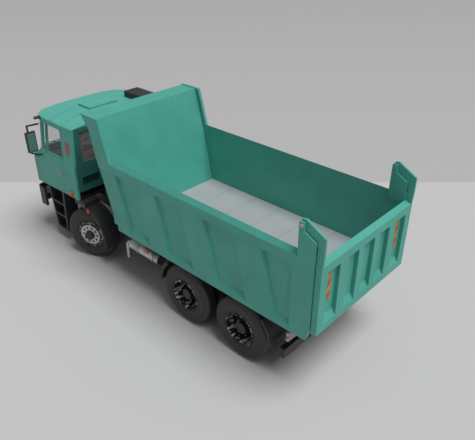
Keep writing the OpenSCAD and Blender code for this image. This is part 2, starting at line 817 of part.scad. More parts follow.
// Slanting rib with bevelled edges: X of the foot of its rear edge at the rib's top, and its width there
module side_rib(x_rear, width) {
  intersection() {
    translate([x_rear, 0, rib_top_z + 1]) rotate([0, rib_angle, 0])
      translate([0, 0, -rib_len]) linear_extrude(rib_len + 10) polygon([[0, side_skin_y - eps],
        [rib_edge, side_low_y],
        [width - rib_edge, side_low_y], [width, side_skin_y - eps]]);
    block([-bed_rear, 0, rib_low_z - 1], [0, cab_half + 5, rib_top_z + 1]);
  }
}

// Ribs of one side: X of the foot of the rear edge at the top, width
RIBS = [[-74.7, 16.6], [-111.3, 18.2], [-148.4, 18.2]];

// X of the middle of the post at the front of a side, and of the front edge of the rear panel
front_post_x = -41;
rear_panel_x = -165.4;

// Outline of X and Z of the whole side, with its cut corners at the bottom
module side_blank() {
  polygon([[-bed_rear + 2, bed_bottom_z], [-37.6, bed_bottom_z], [-37.6, bed_bottom_z + 3.6],
    [-34.4, bed_bottom_z + 3.6], [-34.4, floor_z], [-25.6, bed_rail_z - 6], [-24.1, bed_rail_z],
    [-bed_rear, bed_rail_z], [-bed_rear, bed_bottom_z + 6.5]]);
}

post_x0 = -bed_rear;
post_x1 = -rail_rear_end;
pin_x = post_x1 - 1.4;
pin_z = 94;
post_top_z = 95.7;
cheek_t = 0.9;
arm_y0 = 36.5;
plate_out_y = arm_y0 + arm_t + 0.2;
plate_in_y = arm_y0 - 0.2;

// Outline of the two cheeks that hold an arm of the tailgate
module post_cheek() {
  polygon([[post_x0, bed_rail_z - 1], [post_x1, bed_rail_z - 1], [post_x1, post_top_z - 0.5],
    [post_x1 - 0.4, post_top_z], [post_x1 - 2.6, post_top_z], [post_x1 - 3, post_top_z - 4.3],
    [post_x0, post_top_z - 7.3]]);
}

module bed_side() {
  lean_at_ear = bed_inner + side_lean;
  color(body_green) difference() {
    union() {
      intersection() {
        union() {
          along(-bed_rear, -20) side_profile();
          for (rib = RIBS) side_rib(rib[0], rib[1]);
          side_rib(front_post_x, 40);
          block([-bed_rear, side_skin_y - eps, rib_low_z - 1], [rear_panel_x, side_low_y, rib_top_z + 1]);
        }
        across(0, 50) side_blank();
      }
      across(lean_at_ear, bed_half) polygon([[-36.8, bed_rail_z - 3], [-24.5, bed_rail_z - 3], [-20.9, 95.2],
        [-14.5, bed_top_z], [-29.9, bed_top_z]]);
      across(plate_in_y - cheek_t, plate_in_y) post_cheek();
      across(plate_out_y, bed_half) post_cheek();
      block([post_x0, plate_in_y - cheek_t, bed_rail_z - 4], [post_x1, bed_half, bed_rail_z + 1]);
    }
    bar_y(pin_x, pin_z, gate_pin_r + run_gap, plate_in_y - 2, bed_half + 1);
  }
}

module bed_front_wall() {
  t = front_wall_t;
  half = bed_inner + side_lean - seat_gap;
  foot = bed_inner - seat_gap;
  under = floor_z - floor_t;
  zt = bed_top_z - 0.4;
  lip_x = -14.7;
  color(body_green) intersection() {
    across(-half, half) polygon([[wall_foot_x, under], [wall_foot_x, floor_z], [wall_x(zt), zt], [lip_x, zt],
      [lip_x - 1.8, zt - 2.4], [wall_x(zt - 3.4) + t, zt - 3.4], [wall_foot_x + t + 0.4, under]]);
    along(wall_foot_x - eps, lip_x + eps) polygon([[-foot, under], [foot, under], [half, bed_rail_z],
      [half, bed_top_z], [-half, bed_top_z], [-half, bed_rail_z]]);
  }
}

beam_y0 = 14;
beam_y1 = 16.6;
beam_z0 = rail_top + 2.8;
beam_front_x = wall_foot_x - 1.9;
bed_rod_x = -130;
bed_rod_z = 39.5;

module bed_floor() {
  under = floor_z - floor_t;
  lug = hoist_eye_half + 0.5;
  plate_y = bed_inner - seat_gap;
  member_y = bed_inner - 2;
  color(floor_grey) union() {
    block([bed_end_x, -plate_y, under], [wall_foot_x - seat_gap, plate_y, floor_z]);
    for (side = SIDES) on_side(side) {
      block([tip_x - 6, beam_y0, beam_z0], [beam_front_x, beam_y1, under + eps]);
      bar_y(tip_x, tip_z, 3, beam_y0, beam_y1);
      block([bed_rod_x - 4, lug, bed_rod_z - 3], [bed_rod_x + 4, lug + 1.2, under + eps]);
    }
    for (x = [-168, -148, -108, -88, -66, beam_front_x - 1.2])
      block([x - 1.2, -member_y, under - 2.6], [x + 1.2, member_y, under + eps]);
    bar_y(tip_x, tip_z, tip_r, -beam_y1, beam_y1);
  }
}

// Tailgate, with the pockets pressed into its face and the arms it hangs by
gate_half = 37.8;
gate_top_drop = 1.5;
POCKETS = [[23.6, 32.6], [8.9, 17.6], [-4.4, 4.4], [-17.6, -8.9], [-32.6, -23.6]];

module tailgate() {
  x1 = gate_x;
  x0 = gate_x - gate_t;
  pocket_depth = 1.9;
  floor_x = x0 + pocket_depth;
  low = gate_bottom_z;
  pocket_top = gate_top_z - 5.8;
  root_z = gate_top_z - 2.3;
  color(body_green) union() {
    difference() {
      across(-gate_half, gate_half)
        polygon([[x1, low], [x1, gate_top_z], [x0, gate_top_z - gate_top_drop], [x0, low]]);
      for (pocket = POCKETS)
        block([x0 - eps, pocket[0], low + 4.2], [floor_x, pocket[1], pocket_top]);
    }
    for (pocket = POCKETS) across(pocket[0] - eps, pocket[1] + eps)
      polygon([[x0 + 0.3, low + 4], [floor_x + eps, low + 4], [floor_x + eps, low + 7.4]]);
    for (side = SIDES) on_side(side) {
      across(arm_y0, arm_y0 + arm_t) polygon([[post_x1 - 0.1, pin_z - 1.4], [post_x1 - 0.1, pin_z + 1.6],
        [post_x1 - 1, pin_z + 2.6], [post_x1 - 2.8, pin_z + 2.8], [arm_end_x, pin_z - 2.6],
        [arm_end_x, pin_z - 10], [x0, root_z], [x1, root_z], [x1, pin_z - 8], [post_x1 - 4, pin_z - 4.4]]);
      bar_y(pin_x, pin_z, gate_pin_r, plate_in_y - 1.2, bed_half);
    }
  }
}

// ---- hoist -----------------------------------------------------------------------

hoist_dx = bed_rod_x - hoist_base_x;
hoist_dz = bed_rod_z - hoist_base_z - 2;
hoist_len = sqrt(hoist_dx * hoist_dx + hoist_dz * hoist_dz);

// Places a piece drawn along +X from the hoist's foot to its eye
module at_hoist() {
  translate([hoist_base_x, 0, hoist_base_z + 2]) rotate([0, atan2(-hoist_dz, hoist_dx), 0]) children();
}

module hoist_barrel() {
  color(black) at_hoist() difference() {
    union() {
      bar_y(0, 0, 2.2, -hoist_eye_half, hoist_eye_half);
      bar_x(0, 0, hoist_eye_half - 0.1, 0, 4);
      bar_x(0, 0, barrel_r, 3.1, 52);
    }
    bar_x(0, 0, rod_r + run_gap, 5, 52 + eps);
    bar_y(0, 0, hoist_pin_r + run_gap, -hoist_eye_half - eps, hoist_eye_half + eps);
  }
}

module hoist_rod() {
  color(chrome) at_hoist() union() {
    bar_x(0, 0, rod_r, 20, hoist_len - 1);
    bar_y(hoist_len, 0, 2, -hoist_eye_half, hoist_eye_half);
  }
}

// ---- the truck ---------------------------------------------------------------------

place() backbone_tube();
place() frame_rails();
place() front_axle();
place() driven_axle(middle_x);  // middle_axle
place() driven_axle(rear_x);  // rear_axle
place() engine();
place() front_bumper();
place() head_lamps();
place() entry_step();  // entry_step_left
place() on_side(-1) entry_step();  // entry_step_right
place() front_mudguard();  // front_mudguard_left
place() on_side(-1) front_mudguard();  // front_mudguard_right
place() rear_mudguards();
place() battery_box();
place() silencer();
place() tail_pipe();
place() fuel_tank();
place() air_intake();
place() underrun_bar();
place() tail_lamps();
place() cab_floor();
place() cab_front();
place() cab_side();  // cab_side_left
place() on_side(-1) cab_side();  // cab_side_right
place() cab_rear_wall();
place() cab_roof();
place() roof_hatch();
place() windscreen();
place() side_windows();
place() rear_windows();
place() seats();
place() dashboard();
place() steering_wheel();
place() mirror_arm();  // mirror_left
place() on_side(-1) mirror_arm();  // mirror_right
place() at_steered(1) knuckle();  // knuckle_left
place() at_steered(-1) knuckle();  // knuckle_right
place() at_steered(1) front_rim();  // front_rim_left
place() at_steered(-1) front_rim();  // front_rim_right
place() at_steered(1) tyre(front_tyre_y);  // front_tyre_left
place() at_steered(-1) tyre(front_tyre_y);  // front_tyre_right
place() at_wheel(middle_x, 1) twin_rims();  // middle_rims_left
place() at_wheel(middle_x, -1) twin_rims();  // middle_rims_right
place() at_wheel(middle_x, 1) twin_tyres();  // middle_tyres_left
place() at_wheel(middle_x, -1) twin_tyres();  // middle_tyres_right
place() at_wheel(rear_x, 1) twin_rims();  // rear_rims_left
place() at_wheel(rear_x, -1) twin_rims();  // rear_rims_right
place() at_wheel(rear_x, 1) twin_tyres();  // rear_tyres_left
place() at_wheel(rear_x, -1) twin_tyres();  // rear_tyres_right
place() bed_floor();
place() bed_front_wall();
place() bed_side();  // bed_side_left
place() on_side(-1) bed_side();  // bed_side_right
place() tailgate();
place() hoist_barrel();
place() hoist_rod();
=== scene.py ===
"""Looks of the tipper lorry, a card model: finishes for its CAD pieces and its small fittings.

Everything is in metres in the CAD frame: X forward, Y to the truck's left, Z up from the ground.
"""

import json
import logging
import math
from dataclasses import dataclass
from enum import Enum
from typing import Any, Callable, Mapping, Sequence

import bpy
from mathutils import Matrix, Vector

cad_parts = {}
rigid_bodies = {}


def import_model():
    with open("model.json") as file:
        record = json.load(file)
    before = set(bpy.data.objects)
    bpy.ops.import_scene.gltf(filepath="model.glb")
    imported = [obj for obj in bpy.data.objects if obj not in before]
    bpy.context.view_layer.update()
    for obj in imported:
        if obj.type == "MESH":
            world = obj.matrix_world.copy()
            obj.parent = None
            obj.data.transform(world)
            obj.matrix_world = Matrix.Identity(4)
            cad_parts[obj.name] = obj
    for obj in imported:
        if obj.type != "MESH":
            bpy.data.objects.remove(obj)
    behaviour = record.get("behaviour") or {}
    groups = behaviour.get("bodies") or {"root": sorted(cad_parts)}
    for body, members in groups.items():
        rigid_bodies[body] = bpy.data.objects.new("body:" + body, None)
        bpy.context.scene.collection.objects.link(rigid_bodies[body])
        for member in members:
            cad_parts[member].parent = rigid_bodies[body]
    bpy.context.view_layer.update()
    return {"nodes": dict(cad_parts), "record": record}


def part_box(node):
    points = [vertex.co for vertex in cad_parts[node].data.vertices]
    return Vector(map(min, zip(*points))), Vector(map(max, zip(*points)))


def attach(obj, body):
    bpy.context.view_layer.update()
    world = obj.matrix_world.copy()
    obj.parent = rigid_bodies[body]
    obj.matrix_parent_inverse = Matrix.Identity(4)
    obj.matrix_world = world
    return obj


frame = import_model()

log = logging.getLogger("tipper")

MM = 0.001
JOINTS = {joint["name"]: joint for joint in frame["record"]["behaviour"]["joints"]}
FRONT_AXLE = Vector(JOINTS["steer_left"]["pos_m"])
Point = Sequence[float]
Zone = tuple[Vector, Vector, str]
Socket = bpy.types.NodeSocket
FaceTest = Callable[[Vector, Vector], bool]
FORWARD, BACKWARD = (1, 0, 0), (-1, 0, 0)
UP, DOWN = (0, 0, 1), (0, 0, -1)
RGBA = {"data_type": "RGBA", "out": 2}  # a Mix node for colours


class Side(Enum):
    """A side of the truck, by the sign of its Y."""

    LEFT = 1
    RIGHT = -1

    @property
    def word(self) -> str:
        """The side's name as the CAD nodes spell it."""
        return self.name.lower()

    def outward(self, amount: float) -> Point:
        """Gives a step away from the truck's middle on this side."""
        return 0, self.value * amount, 0

    def across(self, near: float, far: float) -> tuple[float, float]:
        """Gives two distances from the middle as Y on this side, the lower one first."""
        low, high = sorted((self.value * near, self.value * far))
        return low, high


class Axis(Enum):
    """An axis that a round piece is turned about."""

    Y = (math.pi / 2, 0.0, 0.0)
    Z = (0.0, 0.0, 0.0)


def at(x: float, y: float, z: float) -> Vector:
    """Turns a place measured in millimetres from the front axle and the ground to metres.

    Args:
        x: Distance ahead of the front axle.
        y: Distance to the left of the truck's middle.
        z: Height above the ground.

    Returns:
        The place in the CAD frame.
    """
    return Vector((FRONT_AXLE.x + x * MM, y * MM, z * MM))


def from_axle(x: float) -> float:
    """Turns an X in the CAD frame to millimetres ahead of the front axle."""
    return (x - FRONT_AXLE.x) / MM


def linear(hex_code: str) -> tuple[float, float, float, float]:
    """Turns an sRGB hex colour to the linear colour that a shader takes.

    Args:
        hex_code: The colour, such as "4fa595".

    Returns:
        Red, green, blue and full opacity.
    """
    parts = [int(hex_code[i : i + 2], 16) / 255 for i in (0, 2, 4)]
    red, green, blue = [p / 12.92 if p <= 0.04045 else ((p + 0.055) / 1.055) ** 2.4 for p in parts]
    return red, green, blue, 1.0


# ---- finishes ----


class Recipe:
    """A material under construction: its node tree, ending in one Principled shader."""

    def __init__(self, name: str) -> None:
        """Starts an empty material.

        Args:
            name: The material's name.
        """
        self.material = bpy.data.materials.new(name)
        self.material.use_nodes = True
        self.tree = self.material.node_tree
        self.tree.nodes.clear()
        surface = self.add("BsdfPrincipled")
        self.shader = surface.node
        self.add("OutputMaterial", surface)
        self.place = self.add("TexCoord", out="Object")

    def add(self, kind: str, *feeds: Any, out: int | str = 0, **settings: Any) -> Socket:
        """Adds a node, sets it and links it.

        Args:
            kind: The node's type without its prefix, and after a dot its operation if it has one.
            feeds: A value or an output for each input in order, or one dict of them by input.
            out: The output to give back.
            settings: Values of the node's own attributes.

        Returns:
            The asked output of the new node.
        """
        name, _, operation = kind.partition(".")
        node = self.tree.nodes.new("ShaderNode" + name)
        if operation:
            settings["operation"] = operation
        for key, value in settings.items():
            setattr(node, key, value)
        self.feed(node, feeds[0] if feeds and isinstance(feeds[0], dict) else dict(enumerate(feeds)))
        return node.outputs[out] if len(node.outputs) else None

    def feed(self, node: bpy.types.Node, inputs: Mapping[str | int, Any]) -> None:
        """Sets or links inputs of a node.

        Args:
            node: The node to feed.
            inputs: For each input, a value or the output that feeds it.
        """
        for key, value in inputs.items():
            if isinstance(value, Socket):
                self.tree.links.new(value, node.inputs[key])
            else:
                node.inputs[key].default_value = value

    def speckle(self, size_mm: float, detail: float = 3.0, stretch: Point = (1, 1, 1)) -> Socket:
        """Gives a noise whose grains have a real size.

        Args:
            size_mm: Width of a grain.
            detail: How many finer layers the noise has.
            stretch: How densely the grains lie along each axis.

        Returns:
            The output with the noise, about 0.5 on average.
        """
        where = self.add("Mapping", {"Vector": self.place, "Scale": tuple(stretch)})
        return self.add("TexNoise", {"Vector": where, "Scale": 1 / (size_mm * MM), "Detail": detail})

    def relief(self, height: Any, depth_mm: float, strength: float = 0.5) -> None:
        """Gives the surface a fine relief.

        Args:
            height: The output with the relief's height, 0 to 1.
            depth_mm: The real depth of the relief.
            strength: How much of it shows.
        """
        bump = self.add("Bump", {"Height": height, "Distance": depth_mm * MM, "Strength": strength})
        self.feed(self.shader, {"Normal": bump})

    def span(self, value: Any, low: float, high: float) -> Socket:
        """Gives 1 where a value lies between two limits and 0 elsewhere."""
        above = self.add("Math.GREATER_THAN", value, low)
        below = self.add("Math.LESS_THAN", value, high)
        return self.add("Math.MULTIPLY", above, below)


@dataclass(frozen=True)
class Ink:
    """Thin printed lines on one plane of a piece.

    Attributes:
        plane: Which axes count, as ones and zeros.
        paths: Each line as points in metres, joined by straight strokes.
        width_mm: Width of a stroke.
    """

    plane: Point
    paths: tuple[tuple[Vector, ...], ...]
    width_mm: float = 0.28

    def mask(self, recipe: Recipe) -> Socket:
        """Draws the lines.

        Args:
            recipe: The material that takes them.

        Returns:
            The output that is 1 on a line and 0 off it.
        """
        flat = recipe.add("VectorMath.MULTIPLY", recipe.place, tuple(self.plane))
        nearest: Any = 1.0
        for path in self.paths:
            for start, end in zip(path, path[1:]):
                first = Vector([a * b for a, b in zip(start, self.plane)])
                run = Vector([a * b for a, b in zip(end, self.plane)]) - first
                rel = recipe.add("VectorMath.SUBTRACT", flat, first)
                share = recipe.add("VectorMath.DOT_PRODUCT", rel, run / run.length_squared, out="Value")
                share = recipe.add("Math.ADD", share, 0.0, use_clamp=True)
                foot = recipe.add("VectorMath.SCALE", {0: run, "Scale": share})
                away = recipe.add("VectorMath.DISTANCE", rel, foot, out="Value")
                nearest = recipe.add("Math.MINIMUM", nearest, away)
        half = self.width_mm * MM / 2
        inside = recipe.add("Math.SUBTRACT", half * 1.5, nearest)
        return recipe.add("Math.DIVIDE", inside, half, use_clamp=True)


@dataclass(frozen=True)
class Card:
    """Printed and clear-coated card: even colour, faint fibre, a soft satin sheen.

    Attributes:
        name: The finish's name.
        colour: Its main colour.
        shade: Its darker variant, mixed in by noise where the print lies thicker; on the hinge pins it is
            painted shade.
        roughness: Roughness of the coat.
        fibre_mm: Width of a paper fibre bundle, drawn a little coarse so that it shows.
        fibre_run: How densely the fibres lie along each axis.
        blotch_mm: Width of a blotch of the print's unevenness.
        ink: Lines printed on it.
        ink_colour: Their colour.
    """

    name: str
    colour: str
    shade: str
    roughness: float = 0.5
    fibre_mm: float = 0.5
    fibre_run: Point = (1, 1, 1.8)
    blotch_mm: float = 14.0
    ink: tuple[Ink, ...] = ()
    ink_colour: str = "24584e"

    def base(self, recipe: Recipe) -> Socket:
        """Gives the card's plain colour, with its print's small unevenness."""
        blotch = recipe.speckle(self.blotch_mm, 2)
        fibre = recipe.speckle(self.fibre_mm, 4, self.fibre_run)
        both = recipe.add("Math.ADD", blotch, fibre)
        amount = recipe.add("Math.MULTIPLY_ADD", both, 1.3, -0.8, use_clamp=True)
        ends = {0: amount, 6: linear(self.colour), 7: linear(self.shade)}
        return recipe.add("Mix", ends, **RGBA)

    def coat(self, recipe: Recipe) -> None:
        """Gives the card its sheen and its fibres' relief."""
        fibre = recipe.speckle(self.fibre_mm, 4, self.fibre_run)
        rough = recipe.add("Math.MULTIPLY_ADD", fibre, 0.18, self.roughness - 0.09)
        recipe.feed(recipe.shader, {"Roughness": rough, "IOR": 1.5})
        recipe.relief(fibre, 0.02, 0.35)

    def colouring(self, recipe: Recipe) -> Socket:
        """Gives the whole colour pattern; a finish with a print of its own extends it."""
        return self.base(recipe)

    def make(self) -> bpy.types.Material:
        """Builds the material.

        Returns:
            The finished material.
        """
        recipe = Recipe(self.name)
        colour = self.colouring(recipe)
        for ink in self.ink:
            ends = {0: ink.mask(recipe), 6: colour, 7: linear(self.ink_colour)}
            colour = recipe.add("Mix", ends, **RGBA)
        self.coat(recipe)
        recipe.feed(recipe.shader, {"Base Color": colour})
        return recipe.material


@dataclass(frozen=True)
class ZonedCard(Card):
    """Card whose print changes colour in boxes of space.

    Attributes:
        zones: Low corner, high corner and colour of each box.
    """

    zones: tuple[Zone, ...] = ()

    def colouring(self, recipe: Recipe) -> Socket:
        """Paints each box over the plain colour."""
        colour = self.base(recipe)
        axes = recipe.add("SeparateXYZ", recipe.place).node.outputs
        for low, high, code in self.zones:
            inside: Any = 1.0
            for axis, start, end in zip(axes, low, high):
                inside = recipe.add("Math.MULTIPLY", inside, recipe.span(axis, start, end))
            colour = recipe.add("Mix", {0: inside, 6: colour, 7: linear(code)}, **RGBA)
        return colour


@dataclass(frozen=True)
class StripedCard(Card):
    """Card printed with slanting warning stripes.

    Attributes:
        second: The other stripe's colour.
        pitch_mm: Distance from one stripe to the next of its colour.
        slant: Direction across the stripes.
    """

    second: str = "b5482a"
    pitch_mm: float = 4.0
    slant: Point = (0.0, 0.707, 0.707)

    def colouring(self, recipe: Recipe) -> Socket:
        """Lays the stripes in turn."""
        across = recipe.add("VectorMath.DOT_PRODUCT", recipe.place, tuple(self.slant), out="Value")
        turn = recipe.add("Math.FRACT", recipe.add("Math.DIVIDE", across, self.pitch_mm * MM))
        first_half = recipe.add("Math.LESS_THAN", turn, 0.5)
        ends = {0: first_half, 6: self.base(recipe), 7: linear(self.second)}
        return recipe.add("Mix", ends, **RGBA)


@dataclass(frozen=True)
class WheelCard(Card):
    """Printed card of a wheel: hub, disc with round holes, and the rim's mottled inner wall.

    Attributes:
        centre: The wheel's centre.
        turn: Angle the wheel is steered by.
        hub_mm: Radius of the hub's print.
        disc_mm: Radius of the disc's print.
        hub: Colour of the hub.
        disc: Colour of the disc.
        hole: Colour of the holes.
        holes: How many holes the disc has.
        hole_ring_mm: Radius of the circle that they lie on.
        hole_mm: Radius of a hole.
    """

    centre: Point = (0.0, 0.0, 0.0)
    turn: float = 0.0
    hub_mm: float = 3.2
    disc_mm: float = 7.2
    hub: str = "242424"
    disc: str = "dcdcda"
    hole: str = "1a1a1a"
    holes: int = 10
    hole_ring_mm: float = 5.1
    hole_mm: float = 0.6

    def colouring(self, recipe: Recipe) -> Socket:
        """Paints hub, disc, holes and rim by distance and angle about the wheel's centre."""
        inputs = {"Vector": recipe.place, "Location": tuple(self.centre), "Rotation": (0, 0, self.turn)}
        turned = recipe.add("Mapping", inputs, vector_type="TEXTURE")
        across, _, up = recipe.add("SeparateXYZ", turned).node.outputs
        square = recipe.add("Math.MULTIPLY_ADD", across, across, recipe.add("Math.MULTIPLY", up, up))
        radius = recipe.add("Math.SQRT", square)
        mottled = recipe.add("Math.GREATER_THAN", recipe.speckle(1.6, 4, (1, 0.4, 1)), 0.56)
        worn = recipe.add("Math.MULTIPLY", recipe.speckle(1.1, 3), 0.35)
        colour = recipe.add("Mix", {0: mottled, 6: linear(self.shade), 7: linear(self.colour)}, **RGBA)
        disc = recipe.add("Mix", {0: worn, 6: linear(self.disc), 7: linear(self.shade)}, **RGBA)
        holes = self.from_hole(recipe, recipe.add("Math.ARCTAN2", up, across), radius)
        for distance, limit_mm, over in (
            (radius, self.disc_mm, disc),
            (holes, self.hole_mm, linear(self.hole)),
            (radius, self.hub_mm, linear(self.hub)),
        ):
            inside = recipe.add("Math.LESS_THAN", distance, limit_mm * MM)
            colour = recipe.add("Mix", {0: inside, 6: colour, 7: over}, **RGBA)
        return colour

    def from_hole(self, recipe: Recipe, angle: Socket, radius: Socket) -> Socket:
        """Gives the distance to the middle of the nearest hole of the disc.

        Args:
            recipe: The material that takes it.
            angle: The output with the angle about the axle.
            radius: The output with the distance from the axle.

        Returns:
            The output with the distance.
        """
        ring = self.hole_ring_mm * MM
        turned = recipe.add("Math.MULTIPLY", angle, self.holes / math.tau)
        part = recipe.add("Math.FRACT", recipe.add("Math.ADD", turned, 100.5))
        part = recipe.add("Math.SUBTRACT", part, 0.5)
        along = recipe.add("Math.MULTIPLY", part, math.tau / self.holes * ring)
        off = recipe.add("Math.SUBTRACT", radius, ring)
        square = recipe.add("Math.MULTIPLY_ADD", along, along, recipe.add("Math.MULTIPLY", off, off))
        return recipe.add("Math.SQRT", square)


@dataclass(frozen=True)
class TyreCard(Card):
    """Dark card rings glued up to a tyre: concentric layer lines on the walls, a plain tread.

    Attributes:
        centre: The wheel's centre.
        ring_mm: Thickness of a layer, drawn wide enough to show.
        worn: The lighter grey of cut and rubbed edges.
        shoulder_mm: Radii between which the shoulder is rubbed.
    """

    centre: Point = (0.0, 0.0, 0.0)
    ring_mm: float = 1.15
    worn: str = "4b4b4a"
    shoulder_mm: tuple[float, float] = (16.6, 17.5)

    def colouring(self, recipe: Recipe) -> Socket:
        """Lightens the rubbed shoulder and draws faint rings on the walls."""
        near = recipe.add("VectorMath.SUBTRACT", recipe.place, tuple(self.centre))
        flat = recipe.add("VectorMath.MULTIPLY", near, (1, 0, 1))
        radius = recipe.add("VectorMath.LENGTH", flat, out="Value")
        turn = recipe.add("Math.FRACT", recipe.add("Math.DIVIDE", radius, self.ring_mm * MM))
        line = recipe.add("Math.MULTIPLY", recipe.add("Math.LESS_THAN", turn, 0.16), 0.35)
        ends = {0: line, 6: self.base(recipe), 7: linear(self.shade)}
        colour = recipe.add("Mix", ends, **RGBA)
        shoulder = recipe.span(radius, *(edge * MM for edge in self.shoulder_mm))
        rubbed = recipe.add("Math.MULTIPLY", shoulder, recipe.speckle(2.5, 3))
        return recipe.add("Mix", {0: rubbed, 6: colour, 7: linear(self.worn)}, **RGBA)


@dataclass(frozen=True)
class Foil:
    """Silvered card or bare steel wire: drawn or rolled metal with fine lengthwise streaks.

    Attributes:
        name: The finish's name.
        colour: Its main colour.
        dull: The colour of its tarnished streaks.
        roughness: Mean roughness.
        streak_mm: Width of a streak.
    """

    name: str
    colour: str = "dcdcde"
    dull: str = "8f8e8c"
    roughness: float = 0.4
    streak_mm: float = 0.35

    def make(self) -> bpy.types.Material:
        """Builds the material.

        Returns:
            The finished material.
        """
        recipe = Recipe(self.name)
        streak = recipe.speckle(self.streak_mm, 3, (0.08, 1, 1))
        patch = recipe.speckle(5, 3)
        both = recipe.add("Math.ADD", streak, patch)
        amount = recipe.add("Math.MULTIPLY_ADD", both, 1.6, -1.25, use_clamp=True)
        ends = {0: amount, 6: linear(self.colour), 7: linear(self.dull)}
        colour = recipe.add("Mix", ends, **RGBA)
        rough = recipe.add("Math.MULTIPLY_ADD", patch, 0.2, self.roughness - 0.1)
        recipe.feed(recipe.shader, {"Base Color": colour, "Metallic": 1.0, "Roughness": rough})
        recipe.relief(streak, 0.01, 0.3)
        return recipe.material


@dataclass(frozen=True)
class Film:
    """Clear plastic film for windows: colourless, a little dusty, with a sharp reflection.

    Attributes:
        name: The finish's name.
        tint: Its faint colour.
        cover: How much it hides what lies behind.
    """

    name: str
    tint: str = "cfd8d8"
    cover: float = 0.09

    def make(self) -> bpy.types.Material:
        """Builds the material.

        Returns:
            The finished material.
        """
        recipe = Recipe(self.name)
        dust = recipe.speckle(3, 4)
        alpha = recipe.add("Math.MULTIPLY_ADD", dust, 0.12, self.cover - 0.06)
        rough = recipe.add("Math.MULTIPLY_ADD", dust, 0.1, 0.04)
        inputs = {"Base Color": linear(self.tint), "Alpha": alpha, "Roughness": rough, "IOR": 1.49}
        recipe.feed(recipe.shader, inputs)
        return recipe.material


@dataclass(frozen=True)
class Lens:
    """Moulded clear-coloured plastic of a lamp: glossy, with fine upright flutes.

    Attributes:
        name: The finish's name.
        colour: Its colour.
        dark: Its colour between the flutes.
        flute_mm: Distance from flute to flute.
    """

    name: str
    colour: str
    dark: str
    flute_mm: float = 0.7

    def make(self) -> bpy.types.Material:
        """Builds the material.

        Returns:
            The finished material.
        """
        recipe = Recipe(self.name)
        x, y, _ = recipe.add("SeparateXYZ", recipe.place).node.outputs
        along = recipe.add("Math.ADD", y, x)
        wave = recipe.add("Math.SINE", recipe.add("Math.MULTIPLY", along, math.tau / (self.flute_mm * MM)))
        height = recipe.add("Math.MULTIPLY_ADD", wave, 0.5, 0.5)
        cloud = recipe.add("Math.MULTIPLY", recipe.speckle(2, 2), 0.2)
        amount = recipe.add("Math.MULTIPLY_ADD", height, 0.45, cloud)
        ends = {0: amount, 6: linear(self.colour), 7: linear(self.dark)}
        colour = recipe.add("Mix", ends, **RGBA)
        recipe.feed(recipe.shader, {"Base Color": colour, "Roughness": 0.16, "IOR": 1.49})
        recipe.relief(height, 0.08, 0.5)
        return recipe.material


# ---- modelling ----


def deselect() -> None:
    """Leaves nothing selected, so that the next operator acts only on its own piece."""
    for item in bpy.context.view_layer.objects:
        item.select_set(False)


